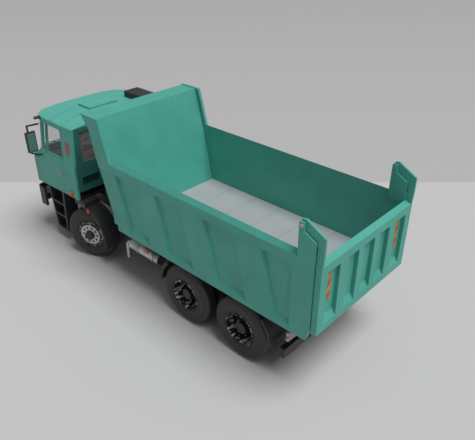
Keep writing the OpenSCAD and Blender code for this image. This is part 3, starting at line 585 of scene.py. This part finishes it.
@dataclass
class Piece:
    """One new mesh piece, modelled with Blender's own operators.

    Attributes:
        name: The piece's name.
        item: Its Blender object.
    """

    name: str
    item: bpy.types.Object

    @classmethod
    def block(cls, name: str, low: Vector, high: Vector) -> "Piece":
        """Starts from a box between two corners.

        Args:
            name: The piece's name.
            low: Its lowest corner.
            high: Its highest corner.

        Returns:
            The new piece.
        """
        deselect()
        bpy.ops.mesh.primitive_cube_add(size=1, location=(low + high) / 2, scale=high - low)
        return cls._taken(name)

    @classmethod
    def drum(
        cls, name: str, middle: Vector, radius_mm: float, depth_mm: float, axis: Axis, sides: int = 40
    ) -> "Piece":
        """Starts from a round blank.

        Args:
            name: The piece's name.
            middle: Its centre.
            radius_mm: Its radius.
            depth_mm: Its length along the axis.
            axis: The axis it is turned about.
            sides: How many faces run round it.

        Returns:
            The new piece.
        """
        deselect()
        bpy.ops.mesh.primitive_cylinder_add(
            vertices=sides,
            radius=radius_mm * MM,
            depth=depth_mm * MM,
            location=middle,
            rotation=axis.value,
            end_fill_type="NGON",
        )
        return cls._taken(name)

    @classmethod
    def _taken(cls, name: str) -> "Piece":
        """Names the primitive just added and puts its place into its mesh."""
        item = bpy.context.object
        item.name = name
        item.data.name = name
        bpy.ops.object.transform_apply(location=True, rotation=True, scale=True)
        return cls(name, item)

    def pick(self) -> None:
        """Selects this piece alone and makes it the active one."""
        deselect()
        self.item.select_set(True)
        bpy.context.view_layer.objects.active = self.item

    def work(self, test: FaceTest, *steps: Callable[[], Any]) -> "Piece":
        """Selects faces by their centre and normal, then works on them in edit mode.

        Args:
            test: Whether a face of this centre and normal is taken.
            steps: The operators to run, in order.

        Returns:
            The same piece.
        """
        self.pick()
        bpy.ops.object.mode_set(mode="EDIT")
        bpy.ops.mesh.select_mode(type="FACE")
        bpy.ops.mesh.select_all(action="DESELECT")
        bpy.ops.object.mode_set(mode="OBJECT")
        for face in self.item.data.polygons:
            face.select = bool(test(face.center, face.normal))
        bpy.ops.object.mode_set(mode="EDIT")
        for step in steps:
            step()
        bpy.ops.object.mode_set(mode="OBJECT")
        return self

    def framed(self, bar_mm: float) -> "Piece":
        """Opens a plate that lies across X to a frame.

        Args:
            bar_mm: Width of the frame's bars.

        Returns:
            The same piece.
        """
        return self.work(both_ways(FORWARD), inset(bar_mm), lambda: bpy.ops.mesh.bridge_edge_loops())

    def bevelled(self, width_mm: float) -> "Piece":
        """Rounds the piece's sharp edges.

        Args:
            width_mm: Width of the rounding.

        Returns:
            The same piece.
        """
        settings = {"segments": 2, "limit_method": "ANGLE", "angle_limit": math.radians(40)}
        self.modify("BEVEL", width=width_mm * MM, **settings)
        return self

    def modify(self, kind: str, **settings: Any) -> None:
        """Adds a modifier, sets it and applies it.

        Args:
            kind: The modifier's type.
            settings: Its settings.
        """
        self.pick()
        modifier = self.item.modifiers.new(kind.title(), kind)
        for key, value in settings.items():
            setattr(modifier, key, value)
        bpy.ops.object.modifier_apply(modifier=modifier.name)

    def smoothed(self) -> "Piece":
        """Shades the piece smooth except at its sharp edges."""
        self.pick()
        bpy.ops.object.shade_smooth_by_angle(angle=math.radians(35))
        return self

    def joined(self, *others: "Piece") -> "Piece":
        """Takes other pieces into this one."""
        self.pick()
        for other in others:
            other.item.select_set(True)
        bpy.ops.object.join()
        return self

    def placed(self, slot: str, material: bpy.types.Material, body: str = "chassis") -> "Piece":
        """Gives the piece its finish and its body.

        Args:
            slot: The record's material slot; not used.
            material: Its finish.
            body: The CAD body that it rides on.

        Returns:
            The same piece.
        """
        self.item.data.materials.clear()
        self.item.data.materials.append(material)
        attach(self.item, body)
        log.info("%s rides on %s", self.name, body)
        return self


def inset(thickness_mm: float, depth_mm: float = 0.0) -> Callable[[], Any]:
    """Gives the step that insets the taken faces, and sinks or raises them."""
    return lambda: bpy.ops.mesh.inset(thickness=thickness_mm * MM, depth=depth_mm * MM)


def extrude(shift_mm: Point) -> Callable[[], Any]:
    """Gives the step that pulls the taken faces out by a shift in millimetres."""
    shift = Vector(shift_mm) * MM
    return lambda: bpy.ops.mesh.extrude_region_move(TRANSFORM_OT_translate={"value": shift})


def facing(direction: Point) -> FaceTest:
    """Gives the test that takes faces looking along a direction."""
    aim = Vector(direction)
    return lambda centre, normal: normal.dot(aim) > 0.9


def both_ways(direction: Point) -> FaceTest:
    """Gives the test that takes faces looking along a direction or against it."""
    aim = Vector(direction)
    return lambda centre, normal: abs(normal.dot(aim)) > 0.9


def every_face(centre: Vector, normal: Vector) -> bool:
    """Takes each face."""
    return True


def dress(material: bpy.types.Material, *nodes: str) -> None:
    """Gives CAD nodes a finish.

    Args:
        material: The finish.
        nodes: The nodes' names.
    """
    for name in nodes:
        for slot in frame["nodes"][name].material_slots:
            slot.material = material
        log.info("%s wears %s", name, material.name)


# ---- sub-assemblies ----
GREEN = "52b0a0"
GREEN_SHADE = "449d8e"
ROOF_GREEN = ("58b4a6", "4da698")
INK = "2a6a5e"
ON_SIDES = (1, 0, 1)
ON_TOP = (1, 1, 0)
BEYOND = 1000.0  # millimetres, farther than any piece reaches


def roof_path(*points: Point) -> tuple[Vector, ...]:
    """Gives a line on the roof from its X and Y in millimetres."""
    return tuple(at(x, y, 0) for x, y in points)


def side_path(*points: Point) -> tuple[Vector, ...]:
    """Gives a line on a side from its X and Z in millimetres."""
    return tuple(at(x, 0, z) for x, z in points)


def mirrored_zones(low: Point, high: Point, code: str) -> tuple[Zone, ...]:
    """Gives the same box of colour on both sides of the truck.

    Args:
        low: The left box's lowest corner in millimetres, from the front axle.
        high: Its highest corner.
        code: Its colour.

    Returns:
        The left box and the right one.
    """
    right = (at(low[0], -high[1], low[2]), at(high[0], -low[1], high[2]), code)
    return (at(*low), at(*high), code), right


@dataclass
class Cab:
    """The cab: its printed panels, glazing, seats, mirrors and small fittings.

    All lengths are in millimetres and all places count from the front axle and the ground.

    Attributes:
        side_lines: Lines printed on each side: door edge, sill, front pillar, window frame.
        roof_lines: Lines printed on the roof's left half.
        hatch_lines: Lines printed on the roof hatch.
        corner_strip: Corners of the dark strip round the left front corner.
        vent: Corners of the dark vent on the left of the rear wall.
        lining_y: Inner and outer edge of the lining of a rear window.
        wall_y: Half the width over its side walls below the belt.
        pillar_y: Half the width where the pillar patch sits.
        wall_lean: Angle in degrees at which the walls lean in above the belt.
        marker: Place of the round amber lamp.
        handle: Place of the door handle.
        patch: Centre of the plain oval on the pillar.
        lamp: Centre of the small lamp at the front of the roof's edge.
        grille_half: Half the grille's width.
        grille_z: Its lower and upper edge.
        wiper_foot: X and height of the wipers' feet.
        wipers_y: Y of each wiper's foot.
    """

    side_lines: tuple[tuple[Point, ...], ...] = (
        ((15.7, 86.0), (16.2, 63.4), (17.8, 42.2)),
        ((17.8, 42.2), (45.5, 40.2)),
        ((33.6, 86.0), (36.0, 64.2), (51.6, 58.2)),
        ((17.0, 84.3), (16.3, 82.0), (16.4, 64.6), (35.4, 64.6)),
    )
    roof_lines: tuple[tuple[Point, ...], ...] = (
        ((30.5, 35.0), (26.7, 34.4), (30.9, 29.5), (33.3, 19.6), (34.8, 9.8)),
        ((19.1, 33.1), (14.5, 33.4), (18.0, 29.2), (20.3, 14.6)),
    )
    hatch_lines: tuple[tuple[Point, ...], ...] = (((22.2, 8.0), (22.2, -9.0)), ((32.3, 8.0), (32.3, -9.0)))
    corner_strip: tuple[Point, Point] = ((52.1, 33.4, 38.0), (60.0, 40.0, 56.6))
    vent: tuple[Point, Point] = ((3.0, 20.9, 49.9), (6.0, 33.1, 55.1))
    lining_y: tuple[float, float] = (7.0, 30.9)
    wall_y: float = 38.0
    pillar_y: float = 36.75
    wall_lean: float = 3.7
    marker: Point = (11.5, 42.9)
    handle: Point = (20.8, 53.8)
    patch: Point = (9.9, 73.7)
    lamp: Point = (39.4, 37.7, 87.1)
    grille_half: float = 25.0
    grille_z: tuple[float, float] = (43.5, 54.5)
    wiper_foot: Point = (55.9, 58.4)
    wipers_y: tuple[float, ...] = (-24.0, -4.0, 16.0)

    def panels(self) -> None:
        """Dresses the outer panels, each with the lines printed on it."""
        lines = Ink(ON_SIDES, tuple(side_path(*line) for line in self.side_lines))
        sides = Card("printed_card_green", GREEN, GREEN_SHADE, ink=(lines,), ink_colour=INK)
        dress(sides.make(), "cab_side_left", "cab_side_right")
        strips = mirrored_zones(*self.corner_strip, "232524")
        dress(ZonedCard("printed_card_front_panel", GREEN, GREEN_SHADE, zones=strips).make(), "cab_front")
        both = [[(x, side.value * y) for x, y in line] for side in Side for line in self.roof_lines]
        seams = tuple(roof_path(*line) for line in both)
        roof = Card("printed_card_roof", *ROOF_GREEN, ink=(Ink(ON_TOP, seams),), ink_colour=INK)
        dress(roof.make(), "cab_roof")
        lines = Ink(ON_TOP, tuple(roof_path(*line) for line in self.hatch_lines))
        hatch = Card("printed_card_hatch", *ROOF_GREEN, ink=(lines,), ink_colour=INK)
        dress(hatch.make(), "roof_hatch")
        vents = mirrored_zones(*self.vent, "173a37")
        # The rear wall's darker copy of the cab's green is painted shade; its vents are print.
        dress(ZonedCard("printed_card_rear_wall", "2f6f68", "285f59", zones=vents).make(), "cab_rear_wall")

    def inside(self) -> None:
        """Dresses what shows through the windows; each seat's back has a grey field."""
        low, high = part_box("seats")
        above_base, below_top = 12.0, 1.5
        field = (-BEYOND, 15.0, low.z / MM + above_base), (BEYOND, 25.0, high.z / MM - below_top)
        zones = mirrored_zones(*field, "8f8f8f")
        dress(ZonedCard("printed_card_seats", "4c241b", "3a1b14", zones=zones).make(), "seats")
        dress(Card("printed_card_trim", "5a3128", "43241e").make(), "dashboard")
        dress(Card("printed_card_wheel_black", "2a2624", "1c1918", 0.4).make(), "steering_wheel")
        dress(Film("clear_film").make(), "windscreen", "side_windows", "rear_windows")

    def rear_trim(self) -> None:
        """Makes the brown lining behind the rear windows, a frame round each opening."""
        material = Card("printed_card_lining", "5a261c", "431b13").make()
        low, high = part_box("rear_windows")
        film = from_axle(high.x)
        behind, thickness, bar = 0.3, 0.7, 3.2
        for side in Side:
            y0, y1 = side.across(*self.lining_y)
            lining = Piece.block(
                f"window_lining_{side.word}",
                at(film + behind, y0, low.z / MM),
                at(film + behind + thickness, y1, high.z / MM),
            )
            lining.framed(bar).placed("trim_card", material)

    def fittings(self) -> None:
        """Makes the lamps, door handles and pillar patches."""
        amber = Lens("moulded_amber_lens", "d8641e", "a63c10").make()
        silver = Foil("silvered_card_handles").make()
        red = Card("printed_card_patch", "a8665c", "96584f").make()
        brown = Card("printed_card_lamp_brown", "5e2e26", "46211b").make()
        for side in Side:
            self.side_marker(side).placed("red_card", amber)
            self.door_handle(side).placed("chrome_card", silver)
            self.pillar_patch(side).placed("red_card", red)
            self.roof_lamp(side).placed("trim_card", brown)

    def side_marker(self, side: Side) -> Piece:
        """Makes the round lamp low on one side, with a raised and dished lens."""
        x, z = self.marker
        radius, thickness = 2.0, 0.7
        middle = at(x, side.value * (self.wall_y + thickness / 2), z)
        lamp = Piece.drum(f"side_marker_{side.word}", middle, radius, thickness, Axis.Y)
        rim, rise, dish_rim, dish = 0.35, 0.4, 0.5, 0.2
        lamp.work(facing(side.outward(1)), inset(rim), extrude(side.outward(rise)), inset(dish_rim, dish))
        return lamp.bevelled(0.12).smoothed()

    def door_handle(self, side: Side) -> Piece:
        """Makes one door's handle, a grip over a shallow dish."""
        x, z = self.handle
        long, skin, tall = 2.3, 0.02, 0.75  # half sizes
        rise, rim, dish = 0.35, 0.3, 0.2
        wall = side.value * self.wall_y
        corners = at(x - long, wall - skin, z - tall), at(x + long, wall + skin, z + tall)
        handle = Piece.block(f"door_handle_{side.word}", *corners)
        steps = extrude(side.outward(rise)), inset(rim), extrude(side.outward(-dish))
        handle.work(facing(side.outward(1)), *steps)
        y, half = side.value * (self.wall_y + rim), 0.15
        grip = Piece.block("grip", at(x - 2.0, y - half, z - 0.1), at(x + 1.2, y + half, z + 0.35))
        return handle.joined(grip.bevelled(0.1)).bevelled(0.08)

    def pillar_patch(self, side: Side) -> Piece:
        """Makes the plain oval on one pillar, leaning with the wall."""
        x, z = self.patch
        middle = at(x, side.value * self.pillar_y, z)
        radius, thickness, stretch = 2.45, 0.2, 1.9
        patch = Piece.drum(f"pillar_patch_{side.word}", middle, radius, thickness, Axis.Y)
        lean = -side.value * math.radians(self.wall_lean)
        patch.work(
            every_face,
            lambda: bpy.ops.transform.resize(value=(1, 1, stretch), center_override=middle),
            lambda: bpy.ops.transform.rotate(value=lean, orient_axis="X", center_override=middle),
        )
        return patch.work(facing(side.outward(1)), inset(0.35, 0.02))

    def roof_lamp(self, side: Side) -> Piece:
        """Makes the small lamp at one front corner of the roof, on its stay."""
        x, y, z = self.lamp
        out = side.value
        radius, length = 1.0, 3.8
        lamp = Piece.drum(f"roof_lamp_{side.word}", at(x, out * y, z), radius, length, Axis.Y, 24)
        lamp.work(both_ways((0, 1, 0)), inset(0.25)).bevelled(0.2).smoothed()
        foot, half = out * (y - 1.7), 0.6
        stay = Piece.block("stay", at(x - 1.2, foot - half, z - 1.4), at(x + 0.6, foot + half, z + 0.1))
        return lamp.joined(stay.bevelled(0.15))

    def face(self) -> None:
        """Makes the grille, the wipers and the bumper's blank plate and lamp frames."""
        black = Card("printed_card_grille", "2a2928", "1c1b1a", 0.45).make()
        self.grille().placed("black_card", black)
        for number, y in enumerate(self.wipers_y, 1):
            self.wiper(number, y).placed("black_card", black)
        nose = from_axle(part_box("front_bumper")[1].x)
        half, low, high = 8.5, 20.5, 24.5
        plate = Piece.block("blank_plate", at(nose - 0.1, -half, low), at(nose + 0.25, half, high))
        plate.work(facing(FORWARD), inset(0.35, -0.1)).bevelled(0.1)
        plate.placed("lamp_card", Card("printed_card_plate", "e2e2de", "d5d5d1").make())
        silver = Foil("silvered_card_bezels").make()
        low, high = 23.3, 30.7
        for side in Side:
            y0, y1 = side.across(21.3, 32.7)
            bezel = Piece.block(f"lamp_bezel_{side.word}", at(nose - 0.1, y0, low), at(nose + 0.3, y1, high))
            bezel.framed(0.9).placed("chrome_card", silver)

    def grille(self) -> Piece:
        """Makes the grille: a sunk field with slats across it."""
        front, half = from_axle(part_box("cab_front")[1].x), self.grille_half
        low, high = self.grille_z
        grille = Piece.block("grille", at(front - 0.2, -half, low), at(front + 0.4, half, high))
        rim, sink = 0.9, 0.3
        grille.work(facing(FORWARD), inset(rim), extrude((-sink, 0, 0)))
        slats, pitch, thickness = 5, 1.9, 0.7
        half, low = half - 0.8, low + 1.4
        slat = Piece.block("slat", at(front, -half, low), at(front + 0.35, half, low + thickness))
        slat.work(facing(FORWARD), extrude((0.15, 0, -0.25)))
        offset = {"use_relative_offset": False, "use_constant_offset": True}
        slat.modify("ARRAY", count=slats, constant_offset_displace=(0, 0, pitch * MM), **offset)
        return grille.joined(slat)

    def wiper(self, number: int, y: float) -> Piece:
        """Makes one wiper lying at the foot of the windscreen.

        Args:
            number: Its number.
            y: Where its foot sits across the truck.

        Returns:
            The wiper, arm and blade in one.
        """
        x, z = self.wiper_foot
        wiper = Piece.block(f"wiper_{number}", at(x, y, z), at(x + 0.6, y + 0.9, z + 0.6))
        wiper.work(facing(UP), extrude((-0.7, 5.0, 2.6)))
        blade = Piece.block("blade", at(x - 0.5, y + 0.2, z + 3.0), at(x - 0.1, y + 12.0, z + 3.4))
        blade.work(facing(FORWARD), inset(0.1), extrude((0.25, 0, 0)))
        return wiper.joined(blade)

    def mirrors(self) -> None:
        """Dresses the mirrors, their arms in another colour, and makes their glasses."""
        low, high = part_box("mirror_left")
        arm, back = from_axle(high.x) - 0.85, from_axle(low.x)
        arms = (at(arm, -BEYOND, -BEYOND), at(BEYOND, BEYOND, BEYOND), "4c342f")
        finish = ZonedCard("printed_card_mirror", "383432", "2b2624", zones=(arms,))
        dress(finish.make(), "mirror_left", "mirror_right")
        foil = Card("foiled_card_mirror", "5f8480", "547874", 0.25).make()
        z0, z1, rim, sink = 66.2, 78.2, 0.45, 0.15
        for side in Side:
            y0, y1 = side.across(41.3, 46.7)
            glass = Piece.block(f"mirror_glass_{side.word}", at(back - 0.3, y0, z0), at(back + 0.02, y1, z1))
            glass.work(facing(BACKWARD), inset(rim), extrude((-sink, 0, 0))).bevelled(0.3)
            glass.placed("chrome_card", foil)


@dataclass
class Chassis:
    """Frame, axles, bumper, steps, guards and what hangs on the frame.

    Attributes:
        black: The nodes of black card.
        grey: The nodes of dark grey card.
        guard_lamp: Place of the lamp on a front mudguard.
        tank_lamp: Place of the lamp beside the silencer.
        lamp_half: Half of a lamp's length, thickness and height.
    """

    black: tuple[str, ...] = (
        "backbone_tube", "frame_rails", "front_axle", "middle_axle", "rear_axle", "engine", "cab_floor",
        "knuckle_left", "knuckle_right", "hoist_barrel", "underrun_bar", "battery_box",
    )
    grey: tuple[str, ...] = (
        "front_bumper", "entry_step_left", "entry_step_right", "front_mudguard_left", "front_mudguard_right",
        "rear_mudguards", "air_intake", "fuel_tank",
    )
    guard_lamp: Point = (-5.6, 38.05, 36.6)
    tank_lamp: Point = (-58.6, 34.3, 29.2)
    lamp_half: Point = (1.1, 0.35, 1.5)

    def dress_frame(self) -> None:
        """Dresses the card, foil and lamp pieces of the chassis."""
        dress(Card("printed_card_black", "222120", "171615", 0.45).make(), *self.black)
        dress(Card("printed_card_dark_grey", "3a3838", "2b2a2a").make(), *self.grey)
        dress(Foil("silvered_card").make(), "silencer", "tail_pipe")
        dress(Foil("steel_wire", "b9bbbd", "8a8b8c", 0.25).make(), "hoist_rod")
        dress(Lens("moulded_clear_lens", "e9e9e4", "b9bab6").make(), "head_lamps")
        striped = StripedCard("printed_card_tail_marks", "cfc4c6", "bfb3b5", second="9b5a60", pitch_mm=2.2)
        dress(striped.make(), "tail_lamps")

    def markers(self) -> None:
        """Makes the small orange lamps on the guards and beside the silencer."""
        orange = Lens("moulded_orange_lens", "d1431a", "9c2a0e").make()
        places = (
            (Side.LEFT, "guard", self.guard_lamp),
            (Side.LEFT, "tank", self.tank_lamp),
            (Side.RIGHT, "guard", self.guard_lamp),
        )
        length, depth, height = self.lamp_half
        for side, word, (x, y, z) in places:
            y *= side.value
            corners = at(x - length, y - depth, z - height), at(x + length, y + depth, z + height)
            lamp = Piece.block(f"{word}_marker_{side.word}", *corners)
            lamp.work(facing(side.outward(1)), inset(0.3), extrude(side.outward(0.3)), inset(0.3))
            lamp.bevelled(0.15).placed("red_card", orange)

    def tank(self) -> None:
        """Makes the fuel tank's straps and its filler cap."""
        silver = Foil("silvered_card_straps").make()
        low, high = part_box("fuel_tank")
        x0, x1, y = from_axle(low.x), from_axle(high.x), low.y / MM
        z0, z1 = low.z / MM, high.z / MM
        fifth = (x1 - x0) / 5
        half, bend, edge, proud = 0.7, 2.1, 2.0, 0.3
        for number, x in enumerate((x0 + fifth, x1 - fifth), 1):
            corners = at(x - half, y - proud, z0 + edge), at(x + half, y + 0.02, z1 - edge)
            strap = Piece.block(f"tank_strap_{number}", *corners)
            strap.work(facing(UP), extrude((0, bend, bend)))
            strap.work(facing(DOWN), extrude((0, bend, -bend)))
            strap.placed("chrome_card", silver)
        middle = at((x0 + x1 - fifth) / 2, y + 6.0, z1 + 0.7)
        radius, height = 2.0, 1.6
        cap = Piece.drum("tank_cap", middle, radius, height, Axis.Z, 32)
        cap.work(facing(UP), inset(0.3), extrude((0, 0, 0.5)), inset(0.4, -0.15)).bevelled(0.15)
        cap.smoothed().placed("black_card", Card("printed_card_cap", "2c2b2a", "1e1d1c").make())


class Wheels:
    """All ten wheels in six sets: their printed rims and dark tyres."""

    def dress_all(self) -> None:
        """Gives each set its finish, centred on its own axle."""
        for side in Side:
            for row in ("front", "middle", "rear"):
                self.dress_set(side, row)

    def dress_set(self, side: Side, row: str) -> None:
        """Dresses one set; the front one is a single wheel and stands steered.

        Args:
            side: The side it is on.
            row: The row it is in.
        """
        front = row == "front"
        many = "" if front else "s"
        joint = JOINTS[f"{row}_wheel{many}_{side.word}_spin"]
        centre = tuple(joint["pos_m"])
        rims = f"{row}_rim{many}_{side.word}"
        tyres = f"{row}_tyre{many}_{side.word}"
        if front:
            turn = math.atan2(-joint["axis"][0], joint["axis"][1])
            look = {"turn": turn, "disc_mm": 6.95, "hole_mm": 0.75}
            rim = WheelCard(f"printed_card_{rims}", "8c8c8a", "2b2b2a", centre=centre, **look)
        else:
            look = {"disc_mm": 7.9, "hub": "2b2a29", "disc": "272625", "hole": "0d0d0d"}
            ring = {"holes": 8, "hole_ring_mm": 5.8, "hole_mm": 1.05}
            rim = WheelCard(f"printed_card_{rims}", "bdbcb8", "1d1c1b", centre=centre, **look, **ring)
        dress(rim.make(), rims)
        dress(TyreCard(f"laminated_card_{tyres}", "343434", "2b2b2b", 0.6, centre=centre).make(), tyres)


@dataclass
class Bed:
    """The tipping bed with its tailgate, marks and small edge pieces.

    Attributes:
        seams: X of the printed seams across the floor.
        mark_y: Y of the middle of each striped mark on the tailgate.
        mark_z: Height of their lower and upper ends.
        arm_proud: How far the tailgate's arms stand out from its face.
        pocket_depth: Depth of the pockets in its face.
        pin_y: Distance from the middle to a hinge pin's cap.
    """

    seams: tuple[float, ...] = (-63.0, -82.5, -102.0, -121.5, -141.0, -160.5)
    mark_y: tuple[float, ...] = (28.5, -29.2)
    mark_z: tuple[float, float] = (55.4, 70.6)
    arm_proud: float = 0.4
    pocket_depth: float = 1.9
    pin_y: float = 38.85

    def dress_bed(self) -> None:
        """Dresses the card pieces of the bed."""
        body = Card("printed_card_bed", GREEN, GREEN_SHADE)
        dress(body.make(), "bed_side_left", "bed_side_right", "bed_front_wall", "tailgate")
        rear, front, half = -180.0, -40.0, 40.0
        paths = tuple(roof_path((x, -half), (x, half)) for x in self.seams)
        lines = Ink(ON_TOP, (*paths, roof_path((rear, 0), (front, 0))), 0.22)
        floor = Card("printed_card_floor", "a9adaf", "9fa3a5", ink=(lines,), ink_colour="6f7f7d")
        dress(floor.make(), "bed_floor")

    def marks(self) -> None:
        """Makes the two striped marks on the floors of the tailgate's outer pockets."""
        stripes = StripedCard("printed_card_stripes", "d9921e", "cf8418", second="c04a22", pitch_mm=5.0)
        material = stripes.make()
        pocket = from_axle(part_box("tailgate")[0].x) + self.arm_proud + self.pocket_depth
        (z0, z1), half = self.mark_z, 1.0
        for number, y in enumerate(self.mark_y, 1):
            corners = at(pocket - 0.15, y - half, z0), at(pocket + 0.05, y + half, z1)
            mark = Piece.block(f"striped_mark_{number}", *corners)
            mark.work(facing(BACKWARD), inset(0.12, 0.02)).placed("red_card", material, "tailgate")

    def pins(self) -> None:
        """Makes the white-ended hinge pin caps."""
        # The red-brown, mixed over the white cap by the card's noise, is painted shade.
        white = Card("printed_card_pin", "d9d6d0", "8a4a3c").make()
        x, _, z = JOINTS["tailgate_swing"]["pos_m"]
        for side in Side:
            middle = at(from_axle(x), side.value * self.pin_y, z / MM)
            radius, thickness = 0.95, 0.3
            cap = Piece.drum(f"pin_cap_{side.word}", middle, radius, thickness, Axis.Y, 24)
            cap.work(facing(side.outward(1)), inset(0.25), extrude(side.outward(0.15))).bevelled(0.06)
            cap.placed("lamp_card", white, "tailgate")


@dataclass
class Studio:
    """Pale floor, soft lights and the camera.

    Attributes:
        camera_at: The camera's place.
        camera_aim: The direction it looks in.
        lens: Its focal length in millimetres.
        sensor: Its sensor's width in millimetres.
        sheet: The paper's colour and its slightly darker fibres.
        table: The table's colour at the sheet's edge and far off, the far one darkened with painted shade.
        sheet_edge: Distance from the camera to the sheet's far edge, along the floor.
        edge_width: Width over which the sheet gives way to the table.
        table_depth: Distance over which the table darkens with painted shade.
        surround: Strength of the even light from all round.
        light: Strength of the broad light.
        light_from: Direction that it comes from.
        softness: Its breadth in degrees.
    """

    camera_at: Point = (-0.21692, 0.19270, 0.20698)
    camera_aim: Point = (0.58637, -0.62989, -0.50932)
    lens: float = 41.49
    sensor: float = 36.0
    sheet: tuple[str, str] = ("c4c4c4", "bfbfbf")
    table: tuple[str, str] = ("b3b3b3", "9f9f9f")
    sheet_edge: float = 0.41
    edge_width: float = 0.004
    table_depth: float = 1.6
    surround: float = 0.24
    light: float = 2.7
    light_from: Point = (-0.38, -0.06, 0.92)
    softness: float = 32.0

    def floor(self) -> None:
        """Lays the pale sheet that the model stands on, with the darker table beyond its edge, which darkens
        farther off with painted shade.
        """
        deselect()
        bpy.ops.mesh.primitive_plane_add(size=8, location=(0, 0, 0))
        sheet = bpy.context.object
        sheet.name = "floor"
        recipe = Recipe("matt_paper_floor")
        across = Vector(self.camera_aim[:2]).normalized()
        start = Vector(self.camera_at[:2]).dot(across) + self.sheet_edge
        far = recipe.add("VectorMath.DOT_PRODUCT", recipe.place, (across.x, across.y, 0.0), out="Value")
        past = recipe.add("Math.SUBTRACT", far, start)
        # Painted shade: the table darkens with distance from the camera.
        depth = recipe.add("Math.DIVIDE", past, self.table_depth, use_clamp=True)
        near, table = (
            recipe.add("Mix", {0: share, 6: linear(first), 7: linear(second)}, **RGBA)
            for share, (first, second) in ((recipe.speckle(1.2, 3), self.sheet), (depth, self.table))
        )
        edge = recipe.add("Math.DIVIDE", past, self.edge_width, use_clamp=True)
        colour = recipe.add("Mix", {0: edge, 6: near, 7: table}, **RGBA)
        recipe.feed(recipe.shader, {"Base Color": colour, "Roughness": 0.8, "IOR": 1.3})
        sheet.data.materials.append(recipe.material)

    def lights(self) -> None:
        """Sets a dim even surround and one broad, soft light from above and behind."""
        world = bpy.data.worlds.new("surround")
        world.use_nodes = True
        backdrop = world.node_tree.nodes["Background"]
        backdrop.inputs["Color"].default_value = linear("ffffff")
        backdrop.inputs["Strength"].default_value = self.surround
        bpy.context.scene.world = world
        lamp = bpy.data.lights.new("broad_light", "SUN")
        lamp.angle = math.radians(self.softness)
        lamp.energy = self.light
        item = bpy.data.objects.new("broad_light", lamp)
        item.rotation_euler = (-Vector(self.light_from)).to_track_quat("-Z", "Y").to_euler()
        bpy.context.collection.objects.link(item)

    def camera(self) -> None:
        """Places the camera."""
        data = bpy.data.cameras.new("camera")
        data.lens = self.lens
        data.sensor_width = self.sensor
        item = bpy.data.objects.new("camera", data)
        item.location = self.camera_at
        item.rotation_euler = Vector(self.camera_aim).to_track_quat("-Z", "Y").to_euler()
        bpy.context.collection.objects.link(item)
        bpy.context.scene.camera = item
        bpy.context.scene.view_settings.view_transform = "Standard"


def main() -> None:
    """Builds everything in order."""
    logging.basicConfig(level=logging.INFO, format="%(name)s: %(message)s")
    studio = Studio()
    studio.camera()
    studio.lights()
    studio.floor()
    cab = Cab()
    cab.panels()
    cab.inside()
    cab.rear_trim()
    cab.fittings()
    cab.face()
    cab.mirrors()
    chassis = Chassis()
    chassis.dress_frame()
    chassis.markers()
    chassis.tank()
    Wheels().dress_all()
    bed = Bed()
    bed.dress_bed()
    bed.marks()
    bed.pins()


if __name__ == "__main__":
    main()
